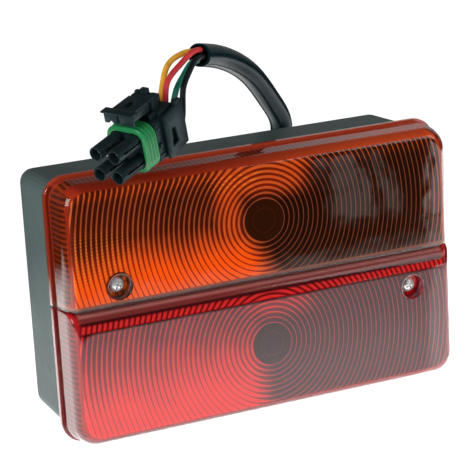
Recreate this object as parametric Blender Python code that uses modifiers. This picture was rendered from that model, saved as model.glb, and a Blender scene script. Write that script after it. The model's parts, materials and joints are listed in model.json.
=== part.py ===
"""Two-chamber trailer tail light with a sealed four-way connector on a short sleeved cable.

The origin is the centre of the housing's flat back, which is screwed to the vehicle. +X runs along
the lamp's width, -Y points out through the lens and +Z is up. Sizes are in metres.
"""

from math import cos, pi, radians, sin

import bmesh
import bpy
import numpy as np
from mathutils import Euler, Matrix, Vector

MM = 0.001

# Driving dimensions
LAMP_WIDTH = 160 * MM
LAMP_HEIGHT = 100.6 * MM
HOUSING_DEPTH = 33.0 * MM
HOUSING_WIDTH = 154 * MM
HOUSING_HEIGHT = 94 * MM
HOUSING_DRAFT = 0.8 * MM
WALL = 2.5 * MM
GAP = 0.3 * MM
AMBER_FRONT = -50.4 * MM
RED_FRONT = -51.4 * MM
SPLIT_HEIGHT = 2.6 * MM
CORNER_STEPS = 5

# Lens
LENS_BACK = -34.4 * MM
LENS_WALL = 2.2 * MM
LENS_CORNER = 8.5 * MM
FLANGE_THICKNESS = 2.2 * MM
FLANGE_STEP = 1.0 * MM
LENS_DRAFT = 0.5 * MM
FRONT_ROUNDING = 4.0 * MM
ROUNDING_DEPTH = 6.5 * MM

# Lens screws and their wells, one in each half: x, z and the height of that half's face
SCREWS = {
    "amber": (-58.6 * MM, 9.9 * MM, AMBER_FRONT),
    "red": (60.4 * MM, -11.2 * MM, RED_FRONT),
}
WELL_OUTER_RADIUS = 5.2 * MM
WELL_RADIUS = 4.4 * MM
WELL_DEPTH = 4.6 * MM
SCREW_HEAD_RADIUS = 2.7 * MM
SCREW_HEAD_HEIGHT = 2.1 * MM
SCREW_RADIUS = 1.5 * MM
SCREW_LENGTH = 25 * MM
BOSS_RADIUS = 4.5 * MM

# Bulbs: their axes run along X, with the filament at x = 0
BULB_HEIGHTS = {"amber": 24.8 * MM, "red": -22.7 * MM}
BULB_DEPTH = -24 * MM
GLOBE_RADIUS = 12.5 * MM
CAP_RADIUS = 7.5 * MM
PIN_PLACE = -31.75 * MM
SHELL_RADIUS = 8.4 * MM
SHELL_WALL = 0.6 * MM
TAB_PLACE = -36 * MM

# Holes in the housing's floor
MOUNT_HOLE_X = 62 * MM
MOUNT_HOLE_Z = 30 * MM
MOUNT_HOLE_RADIUS = 2.75 * MM

# Cable
GROMMET_NECK = 5.4 * MM
EXIT_X = 44 * MM
EXIT_Z = 12 * MM
SLEEVE_DIAMETER = 8.9 * MM
WIRE_DIAMETER = 2.2 * MM

# Connector: its own X runs from the tips to the wires, its Z out through the latch
CONNECTOR_PLACE = Vector((-63.7, -58.4, 56.5)) * MM
CONNECTOR_TURN = Euler((radians(4), radians(-15), radians(28.4)))
WAY_OFFSET = 4 * MM
TOWER_RADIUS = 2.7 * MM
CORE_HALF = 6.5 * MM
CORE_END = 33.5 * MM
WAYS = {"yellow": (1, 1), "red": (1, -1), "green": (-1, 1), "black": (-1, -1)}
LOCK_HINGE_X = 24.2 * MM
LOCK_HINGE_Y = 9.3 * MM
LATCH_HINGE_X = 24.3 * MM
LATCH_HINGE_Z = 14.5 * MM

# Routes, in millimetres, from the lamp's end of each piece
SLEEVE_ROUTE = [
    (44, 6.5, 12),
    (44, 14, 12.9),
    (44, 22, 18.2),
    (45.0, 26.3, 28.5),
    (45.2, 24.5, 40.5),
    (37.4, 16.7, 53.0),
    (22.3, 3, 68.5),
    (-0.3, -16, 81.1),
    (-12.1, -27, 84.7),
]
WIRE_ROUTES = {
    "yellow": [
        (-13.6, -25.7, 85.9),
        (-16.1, -27.3, 86.5),
        (-22.4, -28.4, 85.2),
        (-28.2, -32.0, 81.1),
        (-34.2, -37.6, 70.9),
        (-38.1, -40.3, 69.3),
    ],
    "red": [
        (-11.7, -27.5, 86.7),
        (-15.8, -31.0, 87.1),
        (-23.8, -35.0, 83.3),
        (-30.9, -39.3, 78.0),
        (-33.1, -38.3, 64.6),
        (-36.5, -38.8, 61.6),
    ],
    "green": [
        (-12.9, -27.4, 82.7),
        (-15.9, -29.2, 82.8),
        (-20.3, -31.6, 79.6),
        (-25.3, -35.9, 76.0),
        (-32.2, -45.2, 70.0),
        (-34.1, -47.3, 68.7),
    ],
    "black": [
        (-11.2, -28.7, 84.4),
        (-15.9, -32.6, 84.2),
        (-21.5, -37.4, 80.2),
        (-25.1, -40.7, 76.1),
        (-28.2, -43.3, 63.4),
        (-32.6, -45.8, 61.0),
    ],
}
LEAD_ROUTES = {
    "yellow": [
        (42.6, -6, 13.4),
        (40.8, -8.4, 13.2),
        (34, -8.6, 12),
        (0, -8, 11),
        (-34, -8.5, 11),
        (-46, -9.5, 12.5),
        (-52.6, -14, 18),
        (-53, -20.5, 23.4),
        (-49.5, -24, 24.8),
        (-44.6, -24, 24.8),
    ],
    "green": [
        (45.4, -6, 13.4),
        (44, -10.3, 12.4),
        (37, -11.6, 8),
        (28, -11.2, 2.5),
        (18, -9, -0.9),
        (-8, -8, -0.9),
        (-34, -8, -0.9),
        (-46, -10, -5),
        (-51.5, -15, -12),
        (-52, -21, -18),
        (-49, -24, -19.8),
        (-44.6, -24, -19.8),
    ],
    "red": [
        (42.6, -6, 10.6),
        (40.5, -8.6, 9),
        (34, -8.4, 2),
        (24, -8.2, -5),
        (12, -8, -8.6),
        (-34, -8, -8.6),
        (-46, -8.5, -12),
        (-54.5, -12.5, -18),
        (-55, -20, -24),
        (-50, -24, -25.6),
        (-44.6, -24, -25.6),
    ],
    "black": [
        (45.4, -6, 10.6),
        (44.2, -10, 8.8),
        (38, -11, 2.5),
        (28, -11, -2),
        (16, -8.6, -4.7),
        (-14, -8, -4.7),
        (-22.6, -7.4, -4.7),
        (-23.4, -4.8, -4.7),
    ],
}
# How far apart a tube's points are, in millimetres
ROUTE_SPACING = 2.5
SLEEVE_SPACING = 4.0


# ---------------------------------------------------------------- tools


def new_material(name, colour, roughness, metallic=0.0, transmission=0.0):
    """A plain material with one colour."""
    material = bpy.data.materials.new(name)
    material.use_nodes = True
    surface = material.node_tree.nodes["Principled BSDF"]
    surface.inputs["Base Color"].default_value = (*colour, 1)
    surface.inputs["Roughness"].default_value = roughness
    surface.inputs["Metallic"].default_value = metallic
    surface.inputs["Transmission Weight"].default_value = transmission
    material.diffuse_color = (*colour, 1)
    return material


def new_collection(name):
    collection = bpy.data.collections.new(name)
    bpy.context.scene.collection.children.link(collection)
    return collection


def add_mesh(name, bm, material, parent=None):
    """Turns a bmesh into a part."""
    mesh = bpy.data.meshes.new(name)
    bmesh.ops.recalc_face_normals(bm, faces=bm.faces)
    bm.to_mesh(mesh)
    bm.free()
    mesh.materials.append(material)
    part = bpy.data.objects.new(name, mesh)
    part.parent = parent
    PARTS.objects.link(part)
    return part


def shade_round(part, angle=35):
    part.data.shade_smooth()
    part.data.set_sharp_from_angle(angle=radians(angle))
    return part


def make_box(bm, low, high):
    """Adds a box between two corners."""
    low, high = Vector(low), Vector(high)
    made = bmesh.ops.create_cube(bm, size=1)["verts"]
    bmesh.ops.scale(bm, vec=high - low, verts=made)
    bmesh.ops.translate(bm, vec=(low + high) / 2, verts=made)
    return made


def make_rod(bm, start, end, radius, end_radius=None, sides=24):
    """Adds a cylinder or a cone between two points."""
    start, end = Vector(start), Vector(end)
    along = end - start
    turn = along.to_track_quat("Z", "Y").to_matrix().to_4x4()
    place = Matrix.Translation((start + end) / 2) @ turn
    return bmesh.ops.create_cone(
        bm,
        cap_ends=True,
        segments=sides,
        radius1=radius,
        radius2=radius if end_radius is None else end_radius,
        depth=along.length,
        matrix=place,
    )["verts"]


def round_rectangle(left, right, bottom, top, low_radius, high_radius):
    """Points of a rectangle with rounded corners, as pairs, starting at the upper right."""
    corners = (
        (right, top, -high_radius, -high_radius, 0),
        (left, top, high_radius, -high_radius, 90),
        (left, bottom, low_radius, low_radius, 180),
        (right, bottom, -low_radius, low_radius, 270),
    )
    points = []
    for x, z, inward_x, inward_z, first in corners:
        radius = abs(inward_x)
        for step in range(CORNER_STEPS + 1):
            angle = radians(first + 90 * step / CORNER_STEPS)
            points.append((x + inward_x + radius * cos(angle), z + inward_z + radius * sin(angle)))
    return points


def loft(bm, sections, closed=False):
    """Joins sections with the same number of points, and caps the first and last unless they meet."""
    rings = [[bm.verts.new(point) for point in section] for section in sections]
    pairs = list(zip(rings[:-1], rings[1:]))
    if closed:
        pairs.append((rings[-1], rings[0]))
    for ring, following in pairs:
        for index in range(len(ring)):
            after = (index + 1) % len(ring)
            bm.faces.new((ring[index], ring[after], following[after], following[index]))
    if not closed:
        bm.faces.new(rings[0])
        bm.faces.new(rings[-1])


def add_cutter(name, bm, target, operation, parent=None):
    """Joins a shape to a part or cuts it away."""
    mesh = bpy.data.meshes.new(name)
    bmesh.ops.recalc_face_normals(bm, faces=bm.faces)
    bm.to_mesh(mesh)
    bm.free()
    cutter = bpy.data.objects.new(name, mesh)
    cutter.parent = parent
    cutter.hide_render = True
    cutter.display_type = "WIRE"
    CUTTERS.objects.link(cutter)
    modifier = target.modifiers.new(name, "BOOLEAN")
    modifier.operation = operation
    modifier.solver = "EXACT"
    modifier.object = cutter
    return cutter


def turned_part(name, profile, material, sides=24, parent=None, closed=True):
    """A shape turned about its own Z from pairs of radius and height, listed from the top down."""
    mesh = bpy.data.meshes.new(name)
    bm = bmesh.new()
    points = [bm.verts.new((radius, 0, height)) for radius, height in profile]
    for first, second in zip(points[:-1], points[1:]):
        bm.edges.new((first, second))
    if closed:
        bm.edges.new((points[-1], points[0]))
    bm.to_mesh(mesh)
    bm.free()
    mesh.materials.append(material)
    part = bpy.data.objects.new(name, mesh)
    part.parent = parent
    PARTS.objects.link(part)
    screw = part.modifiers.new("turn", "SCREW")
    screw.steps = sides
    screw.render_steps = sides
    screw.use_merge_vertices = True
    screw.merge_threshold = 1e-5
    screw.use_smooth_shade = True
    return part


def smooth_route(points, spacing):
    """Points at an even spacing on the natural cubic spline through a route, in its own unit."""
    places = np.array(points, dtype=float)
    count = len(places)
    spans = np.linalg.norm(np.diff(places, axis=0), axis=1)
    matrix = np.zeros((count, count))
    pull = np.zeros((count, 3))
    matrix[0, 0] = 1
    matrix[-1, -1] = 1
    for i in range(1, count - 1):
        before, after = spans[i - 1], spans[i]
        matrix[i, i - 1 : i + 2] = before, 2 * (before + after), after
        slope_after = (places[i + 1] - places[i]) / after
        slope_before = (places[i] - places[i - 1]) / before
        pull[i] = 6 * (slope_after - slope_before)
    curve = np.linalg.solve(matrix, pull)
    fine = []
    for i, span in enumerate(spans):
        for there in np.linspace(0, span, 60, endpoint=i == count - 2):
            back = span - there
            bend = (curve[i] * back**3 + curve[i + 1] * there**3) / (6 * span)
            start = (places[i] / span - curve[i] * span / 6) * back
            end = (places[i + 1] / span - curve[i + 1] * span / 6) * there
            fine.append(bend + start + end)
    fine = np.array(fine)
    travelled = np.concatenate([[0], np.cumsum(np.linalg.norm(np.diff(fine, axis=0), axis=1))])
    steps = max(2, round(travelled[-1] / spacing))
    wanted = np.linspace(0, travelled[-1], steps + 1)
    return np.stack([np.interp(wanted, travelled, fine[:, axis]) for axis in range(3)], axis=1)


def add_tube(name, route, diameter, spacing, material, resolution=2):
    """A cord or wire along a route given in millimetres."""
    points = smooth_route(route, spacing) * MM
    curve = bpy.data.curves.new(name, "CURVE")
    curve.dimensions = "3D"
    curve.bevel_depth = diameter / 2
    curve.bevel_resolution = resolution
    curve.use_fill_caps = True
    spline = curve.splines.new("POLY")
    spline.points.add(len(points) - 1)
    for point, place in zip(spline.points, points):
        point.co = (*place, 1)
    curve.materials.append(material)
    tube = bpy.data.objects.new(name, curve)
    PARTS.objects.link(tube)
    return tube


# ---------------------------------------------------------------- housing and cover


def housing_section(y, half_width, half_height, radius):
    outline = round_rectangle(-half_width, half_width, -half_height, half_height, radius, radius)
    return [(x, y, z) for x, z in outline]


def add_housing():
    """An open tub with a slight draft, rounded at its back, and two bosses for the lens screws."""
    draft = HOUSING_DRAFT
    corner = 5 * MM
    back_rounding = 1.2 * MM
    half_width = HOUSING_WIDTH / 2
    half_height = HOUSING_HEIGHT / 2
    sections = []
    for step in range(4):
        angle = radians(90 * step / 3)
        inset = draft + back_rounding * (1 - sin(angle))
        depth = back_rounding * (1 - cos(angle))
        radius = corner - back_rounding * (1 - sin(angle)) / 2
        sections.append(housing_section(-depth, half_width - inset, half_height - inset, radius))
    sections.append(housing_section(-HOUSING_DEPTH, half_width, half_height, corner))
    rim = half_width - WALL, half_height - WALL, corner - WALL
    sections.append(housing_section(-HOUSING_DEPTH, *rim))
    floor_inset = draft + WALL
    floor = half_width - floor_inset, half_height - floor_inset, corner - WALL
    sections.append(housing_section(-WALL, *floor))
    bm = bmesh.new()
    loft(bm, sections)
    housing = add_mesh("housing", bm, DARK_PLASTIC)

    bosses = bmesh.new()
    for x, z, _ in SCREWS.values():
        make_rod(bosses, (x, -WALL / 2, z), (x, -HOUSING_DEPTH, z), BOSS_RADIUS)
    add_cutter("housing_bosses", bosses, housing, "UNION")

    holes = bmesh.new()
    for x, z, _ in SCREWS.values():
        make_rod(holes, (x, -15 * MM, z), (x, -40 * MM, z), SCREW_RADIUS + 0.1 * MM)
    reach = 2 * WALL
    for side in (-1, 1):
        x, z = MOUNT_HOLE_X * side, -MOUNT_HOLE_Z * side
        make_rod(holes, (x, reach, z), (x, -reach, z), MOUNT_HOLE_RADIUS)
    make_rod(holes, (EXIT_X, reach, EXIT_Z), (EXIT_X, -reach, EXIT_Z), GROMMET_NECK + GAP)
    add_cutter("housing_holes", holes, housing, "DIFFERENCE")
    return shade_round(housing)


def add_gasket():
    """A flat ring between the housing's rim and the cover's flange."""
    outer = HOUSING_WIDTH / 2 - GAP, HOUSING_HEIGHT / 2 - GAP, 4.7 * MM
    inner = HOUSING_WIDTH / 2 - WALL + GAP, HOUSING_HEIGHT / 2 - WALL + GAP, 2.8 * MM
    near = -HOUSING_DEPTH - GAP
    far = LENS_BACK + GAP
    bm = bmesh.new()
    loft(
        bm,
        [
            housing_section(near, *outer),
            housing_section(far, *outer),
            housing_section(far, *inner),
            housing_section(near, *inner),
        ],
        closed=True,
    )
    return add_mesh("lens_gasket", bm, RUBBER)


def lens_section(upper, y, inset, valley_inset, corner, valley_corner):
    """One section of a lens half. The valley side is the one that meets the other half."""
    half_width = LAMP_WIDTH / 2 - inset
    far_edge = LAMP_HEIGHT / 2 - inset
    near_edge = GAP / 2 + valley_inset
    if upper:
        outline = round_rectangle(
            -half_width, half_width, SPLIT_HEIGHT + near_edge, far_edge, valley_corner, corner
        )
    else:
        outline = round_rectangle(
            -half_width, half_width, -far_edge, SPLIT_HEIGHT - near_edge, corner, valley_corner
        )
    return [(x, y, z) for x, z in outline]


def add_lens(colour, upper, front, valley_rounding, material):
    """Half of the cover: an open box with a flange at its back and rounded edges at its front."""
    tight = 0.6 * MM
    steps = 5
    sections = []
    for step in range(steps, -1, -1):
        angle = pi / 2 * step / steps
        shrink = 1 - cos(angle)
        sections.append(
            lens_section(
                upper,
                front + ROUNDING_DEPTH * (1 - sin(angle)),
                FLANGE_STEP + LENS_DRAFT + FRONT_ROUNDING * shrink,
                valley_rounding * shrink,
                LENS_CORNER - LENS_DRAFT - FRONT_ROUNDING * shrink * 0.6,
                tight + valley_rounding * shrink * 0.6,
            )
        )
    flange_front = LENS_BACK - FLANGE_THICKNESS
    flange_root = flange_front - 0.4 * MM
    flange_inset = 5.6 * MM
    inner_front = front + LENS_WALL
    inner_rounding = 2.3 * MM
    inner_side = FLANGE_STEP + LENS_DRAFT + LENS_WALL
    inner_corner = LENS_CORNER - LENS_WALL
    valley_wall = 1.8 * MM
    sections += [
        lens_section(upper, flange_root, FLANGE_STEP, 0, LENS_CORNER - FLANGE_STEP, tight),
        lens_section(upper, flange_front, 0, 0, LENS_CORNER, tight),
        lens_section(upper, LENS_BACK, 0, 0, LENS_CORNER, tight),
        lens_section(upper, LENS_BACK, flange_inset, valley_wall, 4.4 * MM, tight),
        lens_section(upper, flange_front, flange_inset, valley_wall, 4.4 * MM, tight),
        lens_section(upper, flange_root, FLANGE_STEP + LENS_WALL, valley_wall, inner_corner, tight),
        lens_section(upper, inner_front + inner_rounding, inner_side, valley_wall, inner_corner, tight),
        lens_section(
            upper,
            inner_front,
            inner_side + inner_rounding,
            valley_wall + valley_rounding,
            inner_corner - inner_rounding,
            tight,
        ),
    ]
    bm = bmesh.new()
    loft(bm, sections)
    lens = add_mesh("lens_" + colour, bm, material)

    x, z, _ = SCREWS[colour]
    post = bmesh.new()
    post_end = -HOUSING_DEPTH - 0.4 * MM
    make_rod(post, (x, front + LENS_WALL / 2, z), (x, post_end, z), WELL_OUTER_RADIUS)
    add_cutter("well_post_" + colour, post, lens, "UNION")
    well = bmesh.new()
    make_rod(well, (x, front - 5 * MM, z), (x, front + WELL_DEPTH, z), WELL_RADIUS)
    add_cutter("well_" + colour, well, lens, "DIFFERENCE")
    hole = bmesh.new()
    make_rod(hole, (x, front, z), (x, post_end + 5 * MM, z), SCREW_RADIUS + GAP)
    add_cutter("well_hole_" + colour, hole, lens, "DIFFERENCE")
    return shade_round(lens)


def add_lens_screw(colour):
    """A pan-head screw with a cross recess. Its own Z points out of the lens."""
    x, z, front = SCREWS[colour]
    head = SCREW_HEAD_RADIUS
    top = SCREW_HEAD_HEIGHT
    profile = [
        (0, top),
        (head * 0.55, top * 0.97),
        (head * 0.85, top * 0.8),
        (head, top * 0.45),
        (head, GAP),
        (SCREW_RADIUS, GAP),
        (SCREW_RADIUS, -SCREW_LENGTH + 1.5 * MM),
        (0.5 * MM, -SCREW_LENGTH),
        (0, -SCREW_LENGTH),
    ]
    screw = turned_part("lens_screw_" + colour, profile, ZINC, sides=20, closed=False)
    screw.rotation_euler = (radians(90), 0, 0)
    screw.location = (x, front + WELL_DEPTH, z)
    recess = bmesh.new()
    arm = head * 0.6
    width = 0.45 * MM
    make_box(recess, (-arm, -width, top * 0.35), (arm, width, top * 1.5))
    cross = bmesh.new()
    make_box(cross, (-width, -arm, top * 0.35), (width, arm, top * 1.5))
    add_cutter("recess_a_" + colour, recess, screw, "DIFFERENCE", parent=screw)
    add_cutter("recess_b_" + colour, cross, screw, "DIFFERENCE", parent=screw)
    return screw


# ---------------------------------------------------------------- inside


def add_divider():
    """The wall between the two chambers, with a notch at its back for the leads."""
    half_width = HOUSING_WIDTH / 2 - HOUSING_DRAFT - WALL - 2 * GAP
    thickness = 1.6 * MM
    low = SPLIT_HEIGHT - thickness / 2
    high = SPLIT_HEIGHT + thickness / 2
    bm = bmesh.new()
    make_box(bm, (-half_width, -HOUSING_DEPTH, low), (half_width, -4.4 * MM, high))
    divider = add_mesh("chamber_divider", bm, WHITE_PLASTIC)
    notch = bmesh.new()
    make_box(notch, (12 * MM, -13.5 * MM, low - 1 * MM), (42 * MM, 0, high + 1 * MM))
    add_cutter("divider_notch", notch, divider, "DIFFERENCE")
    return divider


def add_carrier():
    """The earth plate on the housing's floor, with an upright tab for each bulb's holder."""
    thickness = 1.2 * MM
    plate_front = -WALL - GAP - thickness
    bm = bmesh.new()
    make_box(bm, (-50 * MM, plate_front, -36 * MM), (-18 * MM, -WALL - GAP, 38 * MM))
    carrier = add_mesh("bulb_carrier", bm, ZINC)
    half_width = 11 * MM
    for colour, height in BULB_HEIGHTS.items():
        tab = bmesh.new()
        low = (TAB_PLACE - thickness / 2, -35 * MM, height - half_width)
        high = (TAB_PLACE + thickness / 2, plate_front + thickness / 2, height + half_width)
        make_box(tab, low, high)
        add_cutter("carrier_tab_" + colour, tab, carrier, "UNION")
    holes = bmesh.new()
    for height in BULB_HEIGHTS.values():
        start = (TAB_PLACE - 5 * MM, BULB_DEPTH, height)
        end = (TAB_PLACE + 5 * MM, BULB_DEPTH, height)
        make_rod(holes, start, end, SHELL_RADIUS + GAP, sides=28)
    add_cutter("carrier_holes", holes, carrier, "DIFFERENCE")
    return carrier


def bulb_frame(colour):
    """An empty at the filament, with its Z along the bulb towards the top of its glass."""
    frame = bpy.data.objects.new("bulb_frame_" + colour, None)
    frame.location = (0, BULB_DEPTH, BULB_HEIGHTS[colour])
    frame.rotation_euler = (0, radians(90), 0)
    PARTS.objects.link(frame)
    return frame


def add_holder_shell(colour, frame):
    """The bayonet shell: a tube with two slots that run in from its mouth and then round."""
    outer = SHELL_RADIUS
    inner = SHELL_RADIUS - SHELL_WALL
    mouth = -25 * MM
    end = -44.5 * MM
    profile = [(inner, mouth), (outer, mouth), (outer, end), (inner, end)]
    shell = turned_part("holder_shell_" + colour, profile, BRASS, sides=28, parent=frame)
    slots = bmesh.new()
    slot_half = 1.4 * MM
    deep = PIN_PLACE - slot_half
    make_box(slots, (-slot_half, -12 * MM, deep), (slot_half, 12 * MM, mouth + 2 * MM))
    bmesh.ops.rotate(slots, verts=slots.verts, matrix=Matrix.Rotation(radians(20), 3, "Z"))
    add_cutter("slots_in_" + colour, slots, shell, "DIFFERENCE", parent=frame)
    for index, turn in enumerate((0, 8, 15)):
        arc = bmesh.new()
        make_box(arc, (-slot_half, -12 * MM, deep), (slot_half, 12 * MM, PIN_PLACE + slot_half))
        bmesh.ops.rotate(arc, verts=arc.verts, matrix=Matrix.Rotation(radians(turn), 3, "Z"))
        add_cutter(f"slots_round_{colour}_{index}", arc, shell, "DIFFERENCE", parent=frame)
    return shell


def add_holder_board(colour, frame):
    """The insulating board that closes the back of the shell."""
    radius = SHELL_RADIUS - SHELL_WALL - GAP
    front = -42.5 * MM
    back = -44.2 * MM
    profile = [(0, front), (radius, front), (radius, back), (0, back)]
    return turned_part("holder_board_" + colour, profile, BOARD, sides=24, parent=frame, closed=False)


def add_contact(name, across, frame):
    """A sprung strip that presses on one solder contact. Its foot is on the board."""
    half = 1.3 * MM
    thickness = 0.5 * MM
    bm = bmesh.new()
    near = -39.4 * MM
    make_box(bm, (across - half, -6.2 * MM, near), (across + half, 2 * MM, near + thickness))
    contact = add_mesh(name, bm, BRASS, parent=frame)
    foot = bmesh.new()
    make_box(foot, (across - half, -6.2 * MM, -42.2 * MM), (across + half, -5.6 * MM, -39.2 * MM))
    add_cutter(name + "_foot", foot, contact, "UNION", parent=frame)
    return contact


def add_bulb(colour, contacts, frame):
    """A bayonet bulb: cap with two pins, glass, filament on its stem, and insulated base."""
    cap_wall = 0.5 * MM
    cap_top = -18 * MM
    cap_end = -36.5 * MM
    inner = CAP_RADIUS - cap_wall
    cap_profile = [
        (inner, cap_top),
        (CAP_RADIUS, cap_top),
        (CAP_RADIUS, cap_end + 0.8 * MM),
        (CAP_RADIUS - 0.8 * MM, cap_end),
        (5 * MM, cap_end),
        (5 * MM, cap_end + 0.8 * MM),
        (inner, cap_end + 1.6 * MM),
    ]
    cap = turned_part(f"bulb_{colour}_cap", cap_profile, BRASS, sides=24, parent=frame)
    pins = bmesh.new()
    reach = SHELL_RADIUS + 0.9 * MM
    root = inner + 0.1 * MM
    for side in (-1, 1):
        make_rod(pins, (0, side * root, PIN_PLACE), (0, side * reach, PIN_PLACE), 1 * MM, sides=12)
    add_cutter("pins_" + colour, pins, cap, "UNION", parent=frame)

    neck = 6.6 * MM
    glass_profile = [(0, GLOBE_RADIUS)]
    for step in range(1, 9):
        angle = radians(90 - 17 * step)
        glass_profile.append((GLOBE_RADIUS * cos(angle), GLOBE_RADIUS * sin(angle)))
    glass_profile += [(neck + 0.3 * MM, -12.6 * MM), (neck, -15 * MM), (neck, -22 * MM)]
    glass = turned_part(f"bulb_{colour}_glass", glass_profile, GLASS, parent=frame, closed=False)
    skin = glass.modifiers.new("thickness", "SOLIDIFY")
    skin.thickness = 0.7 * MM
    skin.offset = -1

    stem = bmesh.new()
    make_rod(stem, (0, 0, -26 * MM), (0, 0, -12 * MM), 2.4 * MM, 1.2 * MM, sides=12)
    filament = add_mesh(f"bulb_{colour}_filament", stem, GLASS_STEM, parent=frame)
    wires = bmesh.new()
    for side in (-1, 1):
        make_rod(wires, (0, side * 0.6 * MM, -13 * MM), (0, side * 3.2 * MM, 0.25 * MM), 0.35 * MM, sides=6)
    add_cutter("filament_wires_" + colour, wires, filament, "UNION", parent=frame)
    coil = bmesh.new()
    make_rod(coil, (0, -3.3 * MM, 0), (0, 3.3 * MM, 0), 0.4 * MM, sides=8)
    add_cutter("filament_coil_" + colour, coil, filament, "UNION", parent=frame)

    base_radius = 4.7 * MM
    base_top = cap_end + 0.5 * MM
    base_end = cap_end - 0.9 * MM
    base_profile = [(0, base_top), (base_radius, base_top), (base_radius, base_end), (0, base_end)]
    base = turned_part(f"bulb_{colour}_base", base_profile, BLACK_PLASTIC, parent=frame, closed=False)
    solder = bmesh.new()
    for across in contacts:
        make_rod(solder, (across, 0, -37 * MM), (across, 0, -38.5 * MM), 1.5 * MM, 0.9 * MM, sides=12)
    add_cutter("solder_" + colour, solder, base, "UNION", parent=frame)


def add_bulb_units():
    """Both bulbs with their holders. The red one has two filament circuits and so two contacts."""
    apart = 2.9 * MM
    contacts = {
        "amber": {"contact_turn": 0},
        "red": {"contact_tail": -apart, "contact_stop": apart},
    }
    for colour in BULB_HEIGHTS:
        frame = bulb_frame(colour)
        add_holder_shell(colour, frame)
        add_holder_board(colour, frame)
        for name, across in contacts[colour].items():
            add_contact(name, across, frame)
        add_bulb(colour, contacts[colour].values(), frame)


def add_leads():
    """The wires' ends inside the housing, thinner than outside it and with longer steps."""
    thickness = WIRE_DIAMETER * 0.8
    spacing = ROUTE_SPACING * 2
    for colour, route in LEAD_ROUTES.items():
        add_tube("lead_" + colour, route, thickness, spacing, WIRE_MATERIALS[colour])


# ---------------------------------------------------------------- cable


def add_grommet():
    """The rubber grommet in the housing's floor, tapering along the sleeve as its strain relief."""
    rim = 7.6 * MM
    top = 6.2 * MM
    bottom = -5.1 * MM
    profile = [
        (0, top),
        (5.0 * MM, top),
        (5.9 * MM, 2.4 * MM),
        (rim, 1.9 * MM),
        (rim, GAP),
        (GROMMET_NECK, GAP),
        (GROMMET_NECK, -WALL - GAP),
        (rim, -WALL - GAP),
        (rim, -4.4 * MM),
        (4.4 * MM, bottom),
        (0, bottom),
    ]
    grommet = turned_part("cable_grommet", profile, RUBBER, sides=28, closed=False)
    grommet.location = (EXIT_X, 0, EXIT_Z)
    grommet.rotation_euler = (radians(-90), 0, 0)
    return grommet


def add_cable():
    add_grommet()
    add_tube(
        "cable_sleeve", SLEEVE_ROUTE, SLEEVE_DIAMETER, SLEEVE_SPACING, SLEEVE_PLASTIC, resolution=3
    )
    for colour, route in WIRE_ROUTES.items():
        add_tube("wire_" + colour, route, WIRE_DIAMETER, ROUTE_SPACING, WIRE_MATERIALS[colour])


# ---------------------------------------------------------------- connector


def square_section(x, half, radius, shift=0.0):
    """A rounded square across the connector's own X."""
    outline = round_rectangle(-half, half, shift - half, shift + half, radius, radius)
    return [(x, y, z) for y, z in outline]


def add_connector_body(frame):
    """The core, four towers with slit sides, a bore for each way and the latch's root."""
    core_front = 13.6 * MM
    step = 20 * MM
    bm = bmesh.new()
    loft(
        bm,
        [
            square_section(core_front, CORE_HALF, 2.5 * MM),
            square_section(step, CORE_HALF, 2.5 * MM),
            square_section(step, 8 * MM, 1.5 * MM),
            square_section(CORE_END, 8 * MM, 1.5 * MM),
        ],
    )
    body = add_mesh("connector_body", bm, BLACK_PLASTIC, parent=frame)

    towers = bmesh.new()
    bores = bmesh.new()
    pockets = bmesh.new()
    slits = bmesh.new()
    for side, level in WAYS.values():
        y = side * WAY_OFFSET
        z = level * WAY_OFFSET
        make_rod(towers, (0, y, z), (core_front + 2 * MM, y, z), TOWER_RADIUS, sides=20)
        make_rod(bores, (-2 * MM, y, z), (CORE_END + 2 * MM, y, z), 1.5 * MM, sides=16)
        make_rod(pockets, (27 * MM, y, z), (CORE_END + 1 * MM, y, z), 2.75 * MM, sides=16)
        make_box(slits, (3 * MM, y - 3 * MM, z - 0.1 * MM), (13 * MM, y - 1 * MM, z + 0.9 * MM))
    add_cutter("connector_towers", towers, body, "UNION", parent=frame)
    raised = bmesh.new()
    make_box(raised, (25 * MM, -6.9 * MM, 6 * MM), (33.3 * MM, 6.9 * MM, 9.6 * MM))
    add_cutter("connector_raised_top", raised, body, "UNION", parent=frame)
    root = bmesh.new()
    root_end = 28.6 * MM
    root_top = LATCH_HINGE_Z + 0.75 * MM
    make_box(root, (LATCH_HINGE_X + GAP, -4.4 * MM, 5.5 * MM), (root_end, 4.4 * MM, root_top))
    add_cutter("connector_latch_root", root, body, "UNION", parent=frame)
    tooth = bmesh.new()
    tooth_top = root_top + 2 * MM
    make_box(tooth, (26.2 * MM, -1.6 * MM, 12 * MM), (root_end - 0.2 * MM, 1.4 * MM, tooth_top))
    add_cutter("connector_latch_tooth", tooth, body, "UNION", parent=frame)
    add_cutter("connector_bores", bores, body, "DIFFERENCE", parent=frame)
    add_cutter("connector_pockets", pockets, body, "DIFFERENCE", parent=frame)
    add_cutter("connector_slits", slits, body, "DIFFERENCE", parent=frame)
    return shade_round(body)


def add_connector_seal(frame):
    """The green ring seal round the towers' roots, with four ribs."""
    start = 13.3 * MM
    end = 19.6 * MM
    ribs = 4
    pitch = (end - start) / ribs
    sections = []
    for rib in range(ribs):
        low = start + rib * pitch
        for share, half in ((0.05, 8.0), (0.3, 8.6), (0.7, 8.6), (0.95, 8.0)):
            sections.append(square_section(low + share * pitch, half * MM, (half - 3.8) * MM))
    inside = WAY_OFFSET + TOWER_RADIUS + GAP
    sections.append(square_section(end - 0.05 * pitch, inside, 3 * MM))
    sections.append(square_section(start + 0.05 * pitch, inside, 3 * MM))
    bm = bmesh.new()
    loft(bm, sections, closed=True)
    return shade_round(add_mesh("connector_seal", bm, GREEN_SEAL, parent=frame))


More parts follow.
